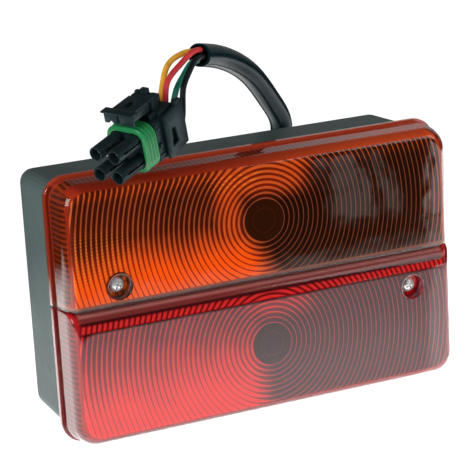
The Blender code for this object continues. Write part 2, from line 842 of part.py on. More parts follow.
def add_connector_latch(frame):
    """The latch arm with its slot and the cross bar at its front. Its origin is on its flexing root."""
    hinge = bpy.data.objects.new("latch_hinge", None)
    hinge.location = (LATCH_HINGE_X, 0, LATCH_HINGE_Z)
    hinge.parent = frame
    PARTS.objects.link(hinge)
    length = 12.2 * MM
    thickness = 1.5 * MM
    arm = bmesh.new()
    make_box(arm, (-length, -5 * MM, -thickness / 2), (0, 5 * MM, thickness / 2))
    latch = add_mesh("connector_latch", arm, BLACK_PLASTIC, parent=hinge)
    bar = bmesh.new()
    bar_front = -length - 0.8 * MM
    bar_end = -length + 1.6 * MM
    make_box(bar, (bar_front, -6.5 * MM, -3.6 * MM), (bar_end, 6.5 * MM, thickness / 2 + 0.2 * MM))
    add_cutter("latch_bar", bar, latch, "UNION", parent=hinge)
    window = bmesh.new()
    make_box(window, (-8.2 * MM, -1.2 * MM, -4 * MM), (-3.6 * MM, 1.2 * MM, 8 * MM))
    add_cutter("latch_window", window, latch, "DIFFERENCE", parent=hinge)
    return latch


def add_connector_lock(name, side, frame):
    """A hinged lock: side plate with a window, a lip over the wire exits and a finger between them."""
    hinge = bpy.data.objects.new(name + "_hinge", None)
    hinge.location = (LOCK_HINGE_X, side * LOCK_HINGE_Y, 0)
    hinge.parent = frame
    PARTS.objects.link(hinge)

    def place(x, y, z):
        return (x * MM - LOCK_HINGE_X, side * (y * MM - LOCK_HINGE_Y), z * MM)

    def side_box(bm, low, high):
        a, b = place(*low), place(*high)
        make_box(bm, [min(p, q) for p, q in zip(a, b)], [max(p, q) for p, q in zip(a, b)])

    plate = bmesh.new()
    side_box(plate, (23.8, 8.3, -8), (35.2, 9.7, 8.7))
    lock = add_mesh(name, plate, BLACK_PLASTIC, parent=hinge)
    lip = bmesh.new()
    side_box(lip, (33.8, 5.6, -7.9), (35.1, 9.6, 8.6))
    add_cutter(name + "_lip", lip, lock, "UNION", parent=hinge)
    finger = bmesh.new()
    side_box(finger, (33.9, 1.2, -1.4), (35.0, 6.5, 1.4))
    add_cutter(name + "_finger", finger, lock, "UNION", parent=hinge)
    nub = bmesh.new()
    side_box(nub, (31.0, 7.2, 8.3), (35.0, 9.6, 10.8))
    add_cutter(name + "_nub", nub, lock, "UNION", parent=hinge)
    window = bmesh.new()
    side_box(window, (26.8, 7, -3.4), (29.2, 11, 1.6))
    add_cutter(name + "_window", window, lock, "DIFFERENCE", parent=hinge)
    return lock


def add_ways(frame):
    """A terminal and a ribbed wire seal in each of the four ways, as radius and place in millimetres."""
    pin = [(0, 26.6), (1.1, 26.6), (1.2, 12), (0.9, 3.4), (0.5, 2.4), (0, 2.4)]
    rib_radius, groove_radius, end_radius = 2.6, 2.2, 2.3
    seal_end, seal_front = 32.8, 27.3
    seal = [
        (0, seal_end),
        (end_radius, seal_end),
        (rib_radius, 32.2),
        (groove_radius, 31.4),
        (rib_radius, 30.2),
        (groove_radius, 29.2),
        (rib_radius, 28),
        (end_radius, seal_front),
        (0, seal_front),
    ]
    for colour, (side, level) in WAYS.items():
        way = bpy.data.objects.new("way_" + colour, None)
        way.location = (0, side * WAY_OFFSET, level * WAY_OFFSET)
        way.rotation_euler = (0, radians(90), 0)
        way.parent = frame
        PARTS.objects.link(way)
        profile = [(radius * MM, height * MM) for radius, height in pin]
        turned_part("terminal_" + colour, profile, ZINC, sides=12, parent=way, closed=False)
        profile = [(radius * MM, height * MM) for radius, height in seal]
        turned_part("cable_seal_" + colour, profile, GREEN_SEAL, sides=16, parent=way, closed=False)


def add_connector():
    frame = bpy.data.objects.new("connector_frame", None)
    frame.location = CONNECTOR_PLACE
    frame.rotation_euler = CONNECTOR_TURN
    PARTS.objects.link(frame)
    add_connector_body(frame)
    add_connector_seal(frame)
    add_connector_latch(frame)
    add_connector_lock("connector_lock_right", -1, frame)
    add_connector_lock("connector_lock_left", 1, frame)
    add_ways(frame)


# ---------------------------------------------------------------- the lamp

for old in list(bpy.data.objects):
    bpy.data.objects.remove(old, do_unlink=True)

PARTS = new_collection("trailer_tail_light")
CUTTERS = new_collection("cutters")

DARK_PLASTIC = new_material("dark_plastic", (0.06, 0.08, 0.085), 0.6)
BLACK_PLASTIC = new_material("black_plastic", (0.02, 0.022, 0.025), 0.4)
WHITE_PLASTIC = new_material("white_plastic", (0.8, 0.8, 0.78), 0.5)
RUBBER = new_material("rubber", (0.03, 0.03, 0.03), 0.8)
AMBER_LENS = new_material("amber_lens", (1.0, 0.33, 0.02), 0.05, transmission=0.8)
RED_LENS = new_material("red_lens", (0.8, 0.02, 0.02), 0.05, transmission=0.8)
ZINC = new_material("zinc_plate", (0.7, 0.71, 0.72), 0.3, metallic=1.0)
BRASS = new_material("brass", (0.75, 0.6, 0.3), 0.3, metallic=1.0)
BOARD = new_material("board", (0.35, 0.2, 0.1), 0.7)
GLASS = new_material("glass", (1.0, 1.0, 1.0), 0.02, transmission=1.0)
GLASS_STEM = new_material("filament", (0.6, 0.6, 0.6), 0.3, metallic=0.8)
SLEEVE_PLASTIC = new_material("sleeve_plastic", (0.02, 0.025, 0.03), 0.25)
GREEN_SEAL = new_material("green_seal", (0.06, 0.3, 0.11), 0.4)
WIRE_MATERIALS = {
    "yellow": new_material("wire_yellow", (0.8, 0.45, 0.04), 0.4),
    "red": new_material("wire_red", (0.65, 0.04, 0.03), 0.4),
    "green": new_material("wire_green", (0.02, 0.25, 0.17), 0.4),
    "black": new_material("wire_black", (0.02, 0.02, 0.022), 0.4),
}

add_housing()
add_gasket()
add_lens("amber", True, AMBER_FRONT, 0.5 * MM, AMBER_LENS)
add_lens("red", False, RED_FRONT, 8 * MM, RED_LENS)
for half in SCREWS:
    add_lens_screw(half)
add_divider()
add_carrier()
add_bulb_units()
add_leads()
add_cable()
add_connector()
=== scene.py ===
"""Looks for the two-chamber trailer tail light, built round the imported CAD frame.

Metres, +Z up. The lamp's back is on y = 0 and its lens faces -Y.
"""

import json
from math import cos, pi, radians, sin

import bmesh
import bpy
import numpy as np
from mathutils import Euler, Matrix, Vector


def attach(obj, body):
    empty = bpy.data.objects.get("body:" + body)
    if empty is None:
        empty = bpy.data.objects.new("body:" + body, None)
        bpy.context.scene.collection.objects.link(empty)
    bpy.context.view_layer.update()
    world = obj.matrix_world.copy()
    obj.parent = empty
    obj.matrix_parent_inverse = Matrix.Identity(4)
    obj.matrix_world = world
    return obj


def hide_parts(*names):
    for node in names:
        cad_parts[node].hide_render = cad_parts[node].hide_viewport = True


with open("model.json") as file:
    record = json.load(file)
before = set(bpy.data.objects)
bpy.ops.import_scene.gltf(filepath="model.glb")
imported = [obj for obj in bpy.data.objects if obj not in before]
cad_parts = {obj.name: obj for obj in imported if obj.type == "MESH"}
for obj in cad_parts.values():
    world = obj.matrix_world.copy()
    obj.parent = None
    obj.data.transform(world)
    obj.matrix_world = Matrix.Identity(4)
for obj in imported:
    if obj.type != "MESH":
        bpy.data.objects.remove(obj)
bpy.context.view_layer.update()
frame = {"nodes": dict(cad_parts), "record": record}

MM = 0.001
GAP = 0.3 * MM

# The cover's shape, as the CAD has it
HALF_WIDTH = 80 * MM
HALF_HEIGHT = 50.3 * MM
LENS_BACK = -34.4 * MM
FLANGE_FRONT = -36.6 * MM
FLANGE_STEP = 1.0 * MM
LENS_DRAFT = 0.5 * MM
LENS_CORNER = 8.5 * MM
FRONT_ROUNDING = 4.0 * MM
ROUNDING_DEPTH = 6.5 * MM
SPLIT = 2.6 * MM
FRONTS = {"amber": -50.4 * MM, "red": -51.4 * MM}
VALLEY_ROUNDINGS = {"amber": 0.7 * MM, "red": 8.0 * MM}
SCREWS = {"amber": (-58.6 * MM, 9.9 * MM), "red": (60.4 * MM, -11.2 * MM)}
SCREW_SPINS = {"amber": -22, "red": 30}
WELL_RADIUS = 4.4 * MM
WELL_DEPTH = 4.6 * MM
WELL_OUTER_RADIUS = 5.2 * MM
WELL_FLOOR = 1.4 * MM
ROUND_SIDES = 48
SKIN = 0.8 * MM
SEAM_CORNER = 0.6 * MM

WHITE = (1.0, 1.0, 1.0)
BLUISH = (0.45, 0.85, 0.95)

# The cable, as the CAD has it
SLEEVE_DIAMETER = 8.9 * MM
SLEEVE_WALL = 0.75 * MM
WIRE_DIAMETER = 2.2 * MM
WAY_OFFSET = 4 * MM
CONNECTOR_PLACE = Vector((-0.0637, -0.0584, 0.0565))
CONNECTOR_TURN = Euler((radians(4), radians(-15), radians(28.4)))
LATCH_HINGE = (24.3 * MM, 0, 14.5 * MM)
LOCK_HINGE_X = 24.2 * MM
LOCK_HINGE_Y = 9.3 * MM

SLEEVE_ROUTE = [
    (0.044, 0.0065, 0.012), (0.044, 0.014, 0.0129), (0.044, 0.022, 0.0182),
    (0.045, 0.0263, 0.0285), (0.0452, 0.0245, 0.0405), (0.0374, 0.0167, 0.053),
    (0.0223, 0.003, 0.0685), (-0.0003, -0.016, 0.0811), (-0.0121, -0.027, 0.0847),
]
WIRE_ROUTES = {
    "yellow": [
        (-0.0136, -0.0257, 0.0859), (-0.0161, -0.0273, 0.0865), (-0.0224, -0.0284, 0.0852),
        (-0.0282, -0.032, 0.0811), (-0.0342, -0.0376, 0.0709), (-0.0381, -0.0403, 0.0693),
    ],
    "red": [
        (-0.0117, -0.0275, 0.0867), (-0.0158, -0.031, 0.0871), (-0.0238, -0.035, 0.0833),
        (-0.0309, -0.0393, 0.078), (-0.0331, -0.0383, 0.0646), (-0.0365, -0.0388, 0.0616),
    ],
    "green": [
        (-0.0129, -0.0274, 0.0827), (-0.0159, -0.0292, 0.0828), (-0.0203, -0.0316, 0.0796),
        (-0.0253, -0.0359, 0.076), (-0.0322, -0.0452, 0.07), (-0.0341, -0.0473, 0.0687),
    ],
    "black": [
        (-0.0112, -0.0287, 0.0844), (-0.0159, -0.0326, 0.0842), (-0.0215, -0.0374, 0.0802),
        (-0.0251, -0.0407, 0.0761), (-0.0282, -0.0433, 0.0634), (-0.0326, -0.0458, 0.061),
    ],
}
WIRE_ROUTE_SPACING = 1.0 * MM
SLEEVE_ROUTE_SPACING = 1.5 * MM


# ---- camera


def new_object(name, data):
    """An object in the scene for a mesh, curve, light or camera."""
    made = bpy.data.objects.new(name, data)
    bpy.context.scene.collection.objects.link(made)
    return made


def add_camera():
    """A long lens in front of the lamp, a little to its left and above it."""
    azimuth = radians(-24.62)
    elevation = radians(15.16)
    roll = radians(-3.34)
    distance = 0.83324
    pan_right = 9.943 * MM
    pan_up = 8.602 * MM
    back = Vector(
        (sin(azimuth) * cos(elevation), -cos(azimuth) * cos(elevation), sin(elevation))
    )
    right = Vector((0, 0, 1)).cross(back).normalized()
    up = back.cross(right)
    right, up = cos(roll) * right + sin(roll) * up, cos(roll) * up - sin(roll) * right
    data = bpy.data.cameras.new("camera")
    data.sensor_width = 36
    data.sensor_fit = "HORIZONTAL"
    data.lens = 161.95
    data.clip_end = 20
    camera = new_object("camera", data)
    place = right * pan_right + up * pan_up + back * distance
    camera.matrix_world = Matrix.Translation(place) @ Matrix((right, up, back)).transposed().to_4x4()
    bpy.context.scene.camera = camera


# ---- material tools


class Graph:
    """A node tree, with short calls for the few nodes used here."""

    def __init__(self, name, kind="materials"):
        self.owner = getattr(bpy.data, kind).new(name)
        self.owner.use_nodes = True
        self.tree = self.owner.node_tree
        self.surface = self.tree.nodes["Background" if kind == "worlds" else "Principled BSDF"]

    def node(self, kind, inputs=(), **settings):
        """A new node with its settings made, and its inputs linked or set by name or number."""
        made = self.tree.nodes.new("ShaderNode" + kind)
        for key, value in settings.items():
            setattr(made, key, value)
        for key, value in dict(inputs).items():
            self.put(made.inputs[key], value)
        return made

    def put(self, socket, value):
        """Links a node's output to a socket, or sets the socket's own value."""
        if isinstance(value, bpy.types.NodeSocket):
            self.tree.links.new(value, socket)
        elif socket.type == "RGBA":
            socket.default_value = (*value, 1.0)
        else:
            socket.default_value = value

    def paint(self, key, value):
        """Links or sets one of the surface's own inputs."""
        self.put(self.surface.inputs[key], value)

    def math(self, operation, first, second=0.0, clamp=False):
        return self.node("Math", {0: first, 1: second}, operation=operation, use_clamp=clamp).outputs[0]

    def times(self, *values):
        total = values[0]
        for value in values[1:]:
            total = self.math("MULTIPLY", total, value)
        return total

    def plus(self, first, second, clamp=False):
        return self.math("ADD", first, second, clamp)

    def minus(self, first, second, clamp=False):
        return self.math("SUBTRACT", first, second, clamp)

    def most(self, first, second):
        return self.math("MAXIMUM", first, second)

    def run(self, value, start, end, low, high):
        """Low up to start and high from end on, with a smooth run between them."""
        inputs = {"Value": value, "From Min": start, "From Max": end, "To Min": low, "To Max": high}
        return self.node("MapRange", inputs, interpolation_type="SMOOTHSTEP").outputs["Result"]

    def step(self, value, start, end):
        """0 at start and 1 at end, with a smooth run between them. End may be below start."""
        if start < end:
            return self.run(value, start, end, 0.0, 1.0)
        return self.run(value, end, start, 1.0, 0.0)

    def mix(self, share, first, second):
        made = self.node("Mix", data_type="RGBA")
        colours = [socket for socket in made.inputs if socket.type == "RGBA"]
        self.put(made.inputs["Factor"], share)
        self.put(colours[0], first)
        self.put(colours[1], second)
        return [socket for socket in made.outputs if socket.type == "RGBA"][0]

    def places(self):
        """The piece's own coordinates in millimetres, as one vector and as x, y and z."""
        coordinates = self.node("TexCoord").outputs["Object"]
        scaled = self.node("VectorMath", {0: coordinates, "Scale": 1 / MM}, operation="SCALE").outputs[0]
        return scaled, *self.node("SeparateXYZ", {0: scaled}).outputs

    def noise(self, place, per_mm, detail, rough=0.5):
        inputs = {"Vector": place, "Scale": per_mm, "Detail": detail, "Roughness": rough}
        return self.node("TexNoise", inputs).outputs["Fac"]

    def bump(self, height, depth):
        """A bump from a height of 0 to 1 that stands for a real depth in metres."""
        return self.node("Bump", {"Height": height, "Distance": depth, "Strength": 1.0}).outputs["Normal"]

    def finish(self, preview):
        self.owner.diffuse_color = (*preview, 1)
        return self.owner


def shaded(colour, factor):
    """A colour made darker or lighter."""
    return tuple(min(1, channel * factor) for channel in colour)


def moulded_plastic(
    name, colour, roughness, grain=0.35, grain_depth=0.02 * MM, shade=0.25, gloss=0.5, tint=WHITE
):
    """A moulded plastic or rubber: fine grain, slow colour drift, scuffs in its gloss."""
    g = Graph(name)
    place, _, _, _ = g.places()
    drift = g.noise(place, 0.06, 3)
    speck = g.noise(place, 2.2, 2)
    tone = g.plus(g.times(drift, 0.7), g.times(speck, 0.3))
    dark, light = shaded(colour, 1 - shade), shaded(colour, 1 + shade)
    g.paint("Base Color", g.mix(g.step(tone, 0.3, 0.7), dark, light))
    scuff = g.noise(place, 0.25, 4, 0.65)
    low = g.times(scuff, 0.18)
    g.paint("Roughness", g.plus(low, roughness - 0.09))
    texture = g.noise(place, 1 / grain, 2)
    g.paint("Normal", g.bump(texture, grain_depth))
    g.paint("Specular IOR Level", gloss)
    g.paint("Specular Tint", tint)
    return g.finish(colour)


def metal(name, colour, roughness, tarnish):
    """A drawn or plated metal with brush lines and a little tarnish."""
    g = Graph(name)
    place, _, _, _ = g.places()
    stretched = g.node("VectorMath", {0: place, 1: (0.15, 4.0, 4.0)}, operation="MULTIPLY").outputs[0]
    lines = g.noise(stretched, 1.0, 3)
    stain = g.step(g.noise(place, 0.35, 4, 0.6), 0.52, 0.75)
    g.paint("Base Color", g.mix(stain, colour, tarnish))
    g.paint("Metallic", 0.6)
    g.paint("Roughness", g.plus(g.times(lines, 0.2), roughness - 0.1))
    g.paint("Normal", g.bump(lines, 0.015 * MM))
    return g.finish(colour)


def clear_glass(name):
    g = Graph(name)
    g.paint("Base Color", WHITE)
    g.paint("Transmission Weight", 1.0)
    g.paint("Roughness", 0.02)
    g.paint("IOR", 1.5)
    place, _, _, _ = g.places()
    g.paint("Normal", g.bump(g.noise(place, 0.12, 1), 0.05 * MM))
    return g.finish((0.9, 0.9, 0.9))


def wire_insulation(name, colour):
    """Soft insulation with a faint fine grain, a slow drift in colour and a waxy gloss."""
    g = Graph(name)
    place, _, _, _ = g.places()
    drift = g.noise(place, 0.2, 3)
    dark, light = shaded(colour, 0.8), shaded(colour, 1.15)
    g.paint("Base Color", g.mix(g.step(drift, 0.3, 0.7), dark, light))
    g.paint("Roughness", g.plus(g.times(drift, 0.15), 0.36))
    g.paint("Specular IOR Level", 0.2)
    g.paint("Normal", g.bump(g.noise(place, 2.5, 2), 0.01 * MM))
    return g.finish(colour)


# ---- lens materials

# For each half: the flutes' crest and groove in painted light where the light gathers and in painted shade
# where it doesn't, the beads' painted highlight, and the strength of the painted glow that the flutes emit
FLUTE_COLOURS = {
    "amber": {
        "crest_lit": (1.0, 0.17, 0.006),
        "groove_lit": (0.36, 0.03, 0.002),
        "crest_dim": (0.55, 0.17, 0.08),
        "groove_dim": (0.035, 0.009, 0.004),
        "bead_highlight": (1.0, 0.4, 0.05),
        "disc": (0.07, 0.018, 0.003),
        "wall": (0.26, 0.044, 0.014),
        "rim_left": (0.3, 0.03, 0.012),
        "rim_right": (0.6, 0.1, 0.03),
        "flange": (0.4, 0.06, 0.03),
        "painted_glow_strength": 0.3,
    },
    "red": {
        "crest_lit": (1.0, 0.012, 0.01),
        "groove_lit": (0.46, 0.007, 0.007),
        "crest_dim": (0.85, 0.07, 0.07),
        "groove_dim": (0.085, 0.008, 0.02),
        "bead_highlight": (1.0, 0.1, 0.08),
        "disc": (0.05, 0.004, 0.006),
        "wall": (0.34, 0.016, 0.013),
        "rim_left": (0.4, 0.012, 0.012),
        "rim_right": (0.4, 0.015, 0.015),
        "flange": (0.3, 0.02, 0.02),
        "painted_glow_strength": 0.18,
    },
}
# Beside the valley: painted highlights on the amber foot and on the red lip, painted light on the slope,
# dark lines, and bright flute ends in painted light with painted shade between them
VALLEY_COLOURS = {
    "amber_foot": (0.34, 0.14, 0.11),
    "lip": (0.95, 0.6, 0.52),
    "slope": (0.42, 0.1, 0.08),
    "line": (0.1, 0.004, 0.008),
    "between": (0.3, 0.005, 0.01),
    "stroke": (0.95, 0.045, 0.04),
}
# In millimetres
RING_CENTRES = {"amber": 24.8, "red": -22.7}
FLUTE_PITCH = 2.0
RIM_DEPTH = ROUNDING_DEPTH / MM
SIDE_RIM_DEPTH = 2.0
FIRST_RING = 0.7
BEAD_PITCH = 1.25
DISC_RADIUS = 7.85
# Shares of 1, and the strength of the painted glow that the walls emit as their own light
FACE_GLOSS = 0.075
WALL_LIGHT = 1.1
SKIN_TINTS = {"amber": (1.0, 0.84, 0.7), "red": (1.0, 0.8, 0.82)}


def ridge_of(g, run):
    """Where a run in millimetres is between two flutes: 0 on a crest, 1 in a groove, and its turns."""
    turns = g.math("FRACT", g.math("DIVIDE", run, FLUTE_PITCH))
    return g.times(g.math("ABSOLUTE", g.minus(turns, 0.5)), 2.0), turns


class LensPoint:
    """Where a point of the fluted layer is, in millimetres, and on which face of it, as shares of 1."""

    def __init__(self, g, half):
        self.place, self.x, self.y, self.z = g.places()
        height = g.minus(self.z, RING_CENTRES[half])
        self.radius = g.math("SQRT", g.plus(g.times(self.x, self.x), g.times(height, height)))
        self.disc = g.step(self.radius, DISC_RADIUS + 0.1, DISC_RADIUS - 0.1)
        to_side = g.minus(HALF_WIDTH / MM, g.math("ABSOLUTE", self.x))
        to_edge = g.minus(HALF_HEIGHT / MM, g.math("ABSOLUTE", self.z))
        to_valley = g.math("ABSOLUTE", g.minus(self.z, SPLIT / MM))
        self.facing_up = g.step(g.minus(to_side, g.math("MINIMUM", to_edge, to_valley)), -0.5, 0.5)
        depth = g.minus(self.y, (FRONTS[half] + SKIN) / MM)
        self.facing_front = g.step(depth, 1.0, 0.6)
        rim_depth = g.plus(g.times(self.facing_up, RIM_DEPTH - SIDE_RIM_DEPTH), SIDE_RIM_DEPTH)
        self.wall = g.step(g.minus(depth, rim_depth), -0.4, 0.4)
        self.flange = g.step(self.y, FLANGE_FRONT / MM - 0.7, FLANGE_FRONT / MM - 0.3)
        self.ring_ridge, self.ring_turns = ridge_of(g, g.plus(self.radius, FIRST_RING))
        run = g.plus(g.times(self.facing_up, self.x), g.times(g.minus(1.0, self.facing_up), self.z))
        self.wall_ridge, self.wall_turns = ridge_of(g, run)


def amber_glow(g, x, z):
    """Where the amber half's painted glow lies: its lower left, a band left of the disc and its upper
    middle.
    """
    low = g.times(g.step(z, 35, 10), g.step(g.plus(x, g.times(z, 0.45)), 11, -3))
    band = g.times(g.step(x, -27, -13), g.step(x, -4, -12))
    top = g.times(g.step(z, 30, 38), g.times(g.step(x, -20, -8), g.step(x, 24, 12)))
    left = g.times(g.step(x, -6, -20), 0.22)
    glow = g.most(low, g.times(band, 0.62))
    glow = g.most(glow, g.times(top, 0.6))
    return g.most(glow, left)


def red_glow(g, x, z):
    """Where the red half's painted glow lies: all its left, more so lower down, and a little under the
    valley.
    """
    left = g.step(x, 2, -11)
    low = g.plus(g.times(g.step(z, -6, -42), 0.75), 0.25)
    middle = g.times(g.step(z, -16, -8), g.times(g.step(x, -22, -8), g.step(x, 24, 10)))
    glow = g.times(left, low)
    return g.most(glow, g.times(middle, 0.45))


def mottled_glow(g, half, at):
    """A half's painted glow, a little uneven."""
    glow = amber_glow(g, at.x, at.z) if half == "amber" else red_glow(g, at.x, at.z)
    mottle = g.times(g.minus(g.noise(at.place, 0.09, 3), 0.5), 0.5)
    return g.plus(glow, g.times(mottle, g.step(glow, 0.0, 0.35)), clamp=True)


def bead_light(g, half, x, z, ring_ridge):
    """Small beads of light on the crests: at the left of both halves and at the top of the amber one."""
    if half == "amber":
        left = g.times(g.step(x, -46, -62), g.step(z, 10, 16), g.step(z, 35, 27))
        top = g.times(g.step(x, -24, -18), g.step(x, 1, -3), g.step(z, 37, 39), g.step(z, 44, 43))
        sparkle = g.most(left, top)
    else:
        sparkle = g.times(g.step(x, -58, -64), g.step(z, -8, -12), g.step(z, -40, -32), 0.7)
    turns = g.math("FRACT", g.math("DIVIDE", z, BEAD_PITCH))
    beads = g.step(g.math("ABSOLUTE", g.minus(turns, 0.5)), 0.3, 0.12)
    return g.times(beads, g.step(ring_ridge, 0.4, 0.1), sparkle)


def face_colour(g, colours, at, glow, crest_light, beads):
    """The rings with their beads, and the plain disc in their middle with one faint ring. The crests and
    grooves carry painted light where the glow is and painted shade where it isn't, and the beads are
    painted highlights.
    """
    width = g.plus(g.times(glow, 0.6), 0.15)
    crest = g.plus(g.math("DIVIDE", g.minus(width, at.ring_ridge), 0.22), 0.5, clamp=True)
    crest_colour = g.mix(crest_light, colours["crest_dim"], colours["crest_lit"])
    groove_colour = g.mix(glow, colours["groove_dim"], colours["groove_lit"])
    rings = g.mix(beads, g.mix(crest, groove_colour, crest_colour), colours["bead_highlight"])
    faint_ring = g.times(g.step(at.radius, 4.3, 4.5), g.step(at.radius, 4.9, 4.7), 0.35)
    return g.mix(at.disc, rings, g.mix(faint_ring, colours["disc"], colours["wall"]))


def wall_colour(g, colours, at):
    """The walls' straight flutes, with painted shade in their grooves and paler to the right, and the
    flange.
    """
    dark = shaded(colours["wall"], 0.35)
    flutes = g.mix(g.step(at.wall_ridge, 0.62, 0.3), dark, colours["wall"])
    flutes = g.mix(g.times(g.step(at.x, 10, 74), 0.6), flutes, colours["rim_right"])
    return g.mix(at.flange, flutes, colours["flange"])


def flute_wave(g, at):
    """The flutes' relief from 0 to 1. The disc, the rounding and the flange are smooth."""
    rings = g.plus(g.math("COSINE", g.times(at.ring_turns, 2 * pi)), 1.0)
    rings = g.times(rings, at.facing_front, g.minus(1.0, at.disc))
    walls = g.plus(g.math("COSINE", g.times(at.wall_turns, 2 * pi)), 1.0)
    walls = g.times(walls, at.wall, g.minus(1.0, at.flange), 0.4)
    return g.times(g.plus(rings, walls), 0.5)


def flute_material(half):
    """The fluted inner face of a lens half: rings round the bulb in front, straight flutes on the walls.

    The rounding between them is smooth. Each half has a band of its own beside the valley. Its light and
    shade are painted, in its colour and in a painted glow that it emits.
    """
    g = Graph(half + "_flutes")
    colours = FLUTE_COLOURS[half]
    at = LensPoint(g, half)
    glow = mottled_glow(g, half, at)
    crest_light = g.most(glow, flute_end_light(g, half, at.x, at.z))
    beads = bead_light(g, half, at.x, at.z, at.ring_ridge)
    face = face_colour(g, colours, at, glow, crest_light, beads)
    rim_colour = g.mix(g.step(at.x, -40, 60), colours["rim_left"], colours["rim_right"])
    rim = g.minus(1.0, g.plus(at.facing_front, at.wall), clamp=True)
    shown = g.mix(at.wall, g.mix(rim, face, rim_colour), wall_colour(g, colours, at))
    # The painted glow that the flutes emit: on the lit crests and beads of the face, and on the top and
    # bottom walls and their rounding
    lit = g.times(g.minus(1.0, at.disc), g.most(crest_light, beads), at.facing_front)
    lit = g.most(lit, g.times(g.minus(1.0, at.facing_front), at.facing_up, WALL_LIGHT))
    if half == "red":
        shown, lit = valley_band(g, shown, lit, at.x, at.z, at.ring_ridge)
    else:
        shown, lit = amber_foot(g, shown, lit, at.z)
    g.paint("Base Color", shown)
    g.paint("Emission Color", shown)
    g.paint("Emission Strength", g.times(lit, colours["painted_glow_strength"]))
    g.paint("Normal", g.bump(flute_wave(g, at), 0.04 * MM))
    g.paint("Roughness", 0.35)
    g.paint("Specular IOR Level", 0.1)
    return g.finish(colours["crest_lit"])


def flute_end_light(g, half, x, z):
    """How much painted light brightens the rings at the edges of the face."""
    right = g.times(g.step(x, 64, 73), 0.55)
    if half == "red":
        return g.times(right, 0.6)
    top = g.times(g.step(z, 40.5, 43.5), 0.7)
    return g.most(top, right)


def amber_foot(g, shown, lit, z):
    """The amber half beside the valley: a narrow band with a painted highlight, where the painted glow
    stops.
    """
    up = g.minus(z, SPLIT / MM)
    shown = g.mix(g.step(up, 2.1, 1.7), shown, VALLEY_COLOURS["amber_foot"])
    return shown, g.times(lit, g.step(up, 1.7, 2.1))


def valley_band(g, shown, lit, x, z, ring_ridge):
    """The red half beside the valley: a painted highlight on the lip, painted light on the brown slope, a
    dark line, and short flute ends in painted light with painted shade between them.
    """
    down = g.minus(SPLIT / MM, z)
    slope = g.mix(g.step(down, 1.9, 3.0), VALLEY_COLOURS["lip"], VALLEY_COLOURS["slope"])
    slope = g.mix(g.step(down, 3.7, 4.5), slope, VALLEY_COLOURS["line"])
    slope = g.mix(g.step(down, 4.9, 5.6), slope, VALLEY_COLOURS["between"])
    strokes = g.times(g.step(ring_ridge, 0.85, 0.35), g.step(down, 4.7, 5.7), g.step(down, 8.3, 7.3))
    slope = g.mix(strokes, slope, VALLEY_COLOURS["stroke"])
    slope = g.mix(g.step(down, 7.8, 8.4), slope, VALLEY_COLOURS["line"])
    inside = g.times(g.step(down, 9.0, 8.6), g.step(g.math("ABSOLUTE", x), 75.5, 74.0))
    lit = g.times(lit, g.minus(1.0, inside))
    lit = g.most(lit, g.times(strokes, inside))
    return g.mix(inside, shown, slope), lit


def skin_material(half):
    """The smooth clear outside of the lens: tinted, with a mirror-like gloss that grows at the edges."""
    g = Graph(half + "_skin")
    g.tree.nodes.remove(g.surface)
    place, _, _, _ = g.places()
    ripple = g.bump(g.noise(place, 0.07, 2), 0.12 * MM)
    see_through = g.node("BsdfTransparent", {"Color": SKIN_TINTS[half]})
    gloss = g.node("BsdfGlossy", {"Color": WHITE, "Roughness": 0.04, "Normal": ripple})
    fresnel = g.node("Fresnel", {"IOR": 1.5})
    facing = g.node("SeparateXYZ", {0: g.node("NewGeometry").outputs["Normal"]})
    most = g.plus(g.step(facing.outputs["Y"], -0.98, -0.8), FACE_GLOSS)
    share = g.math("MINIMUM", fresnel.outputs[0], most)
    both = g.node("MixShader", {0: share, 1: see_through.outputs[0], 2: gloss.outputs[0]})
    g.put(g.tree.nodes["Material Output"].inputs["Surface"], both.outputs[0])
    return g.finish(FLUTE_COLOURS[half]["crest_lit"])


def well_material(half):
    """A screw well's tinted wall: painted shade down its sides and painted light at its floor."""
    g = Graph(half + "_well")
    colours = FLUTE_COLOURS[half]
    place, _, y, _ = g.places()
    depth = g.minus(y, FRONTS[half] / MM)
    floor = g.step(depth, WELL_DEPTH / MM - 0.5, WELL_DEPTH / MM - 0.1)
    patch = g.step(g.noise(place, 0.35, 2), 0.42, 0.6)
    wall = g.mix(g.times(patch, 0.6), colours["groove_dim"], colours["wall"])
    lit = g.mix(patch, colours["wall"], colours["crest_lit"])
    g.paint("Base Color", g.mix(floor, wall, lit))
    g.paint("Roughness", 0.12)
    g.paint("Coat Weight", 0.8)
    g.paint("Normal", g.bump(g.noise(place, 0.8, 2), 0.03 * MM))
    return g.finish(colours["wall"])


# ---- shape tools


def mesh_of(name, bm):
    """Turns a bmesh into a mesh."""
    mesh = bpy.data.meshes.new(name)
    bm.to_mesh(mesh)
    bm.free()
    return mesh


def add_piece(name, bm, material, body, cad, angle):
    """Turns a bmesh into a piece that rides on a body and stands for CAD nodes."""
    bmesh.ops.recalc_face_normals(bm, faces=bm.faces)
    mesh = mesh_of(name, bm)
    mesh.materials.append(material)
    mesh.shade_smooth()
    mesh.set_sharp_from_angle(angle=radians(angle))
    piece = new_object(name, mesh)
    declare(piece, body, cad)
    return piece


def declare(piece, body, cad):
    """Says which body a piece rides on and which CAD nodes it stands for."""
    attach(piece, body)
    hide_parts(*cad)


def bevel_all(bm, width):
    """Rounds every edge that turns by more than 40 degrees."""
    sharp = [e for e in bm.edges if len(e.link_faces) == 2 and e.calc_face_angle() > radians(40)]
    bmesh.ops.bevel(
        bm, geom=sharp, offset=width, segments=2, profile=0.5, affect="EDGES", clamp_overlap=True
    )


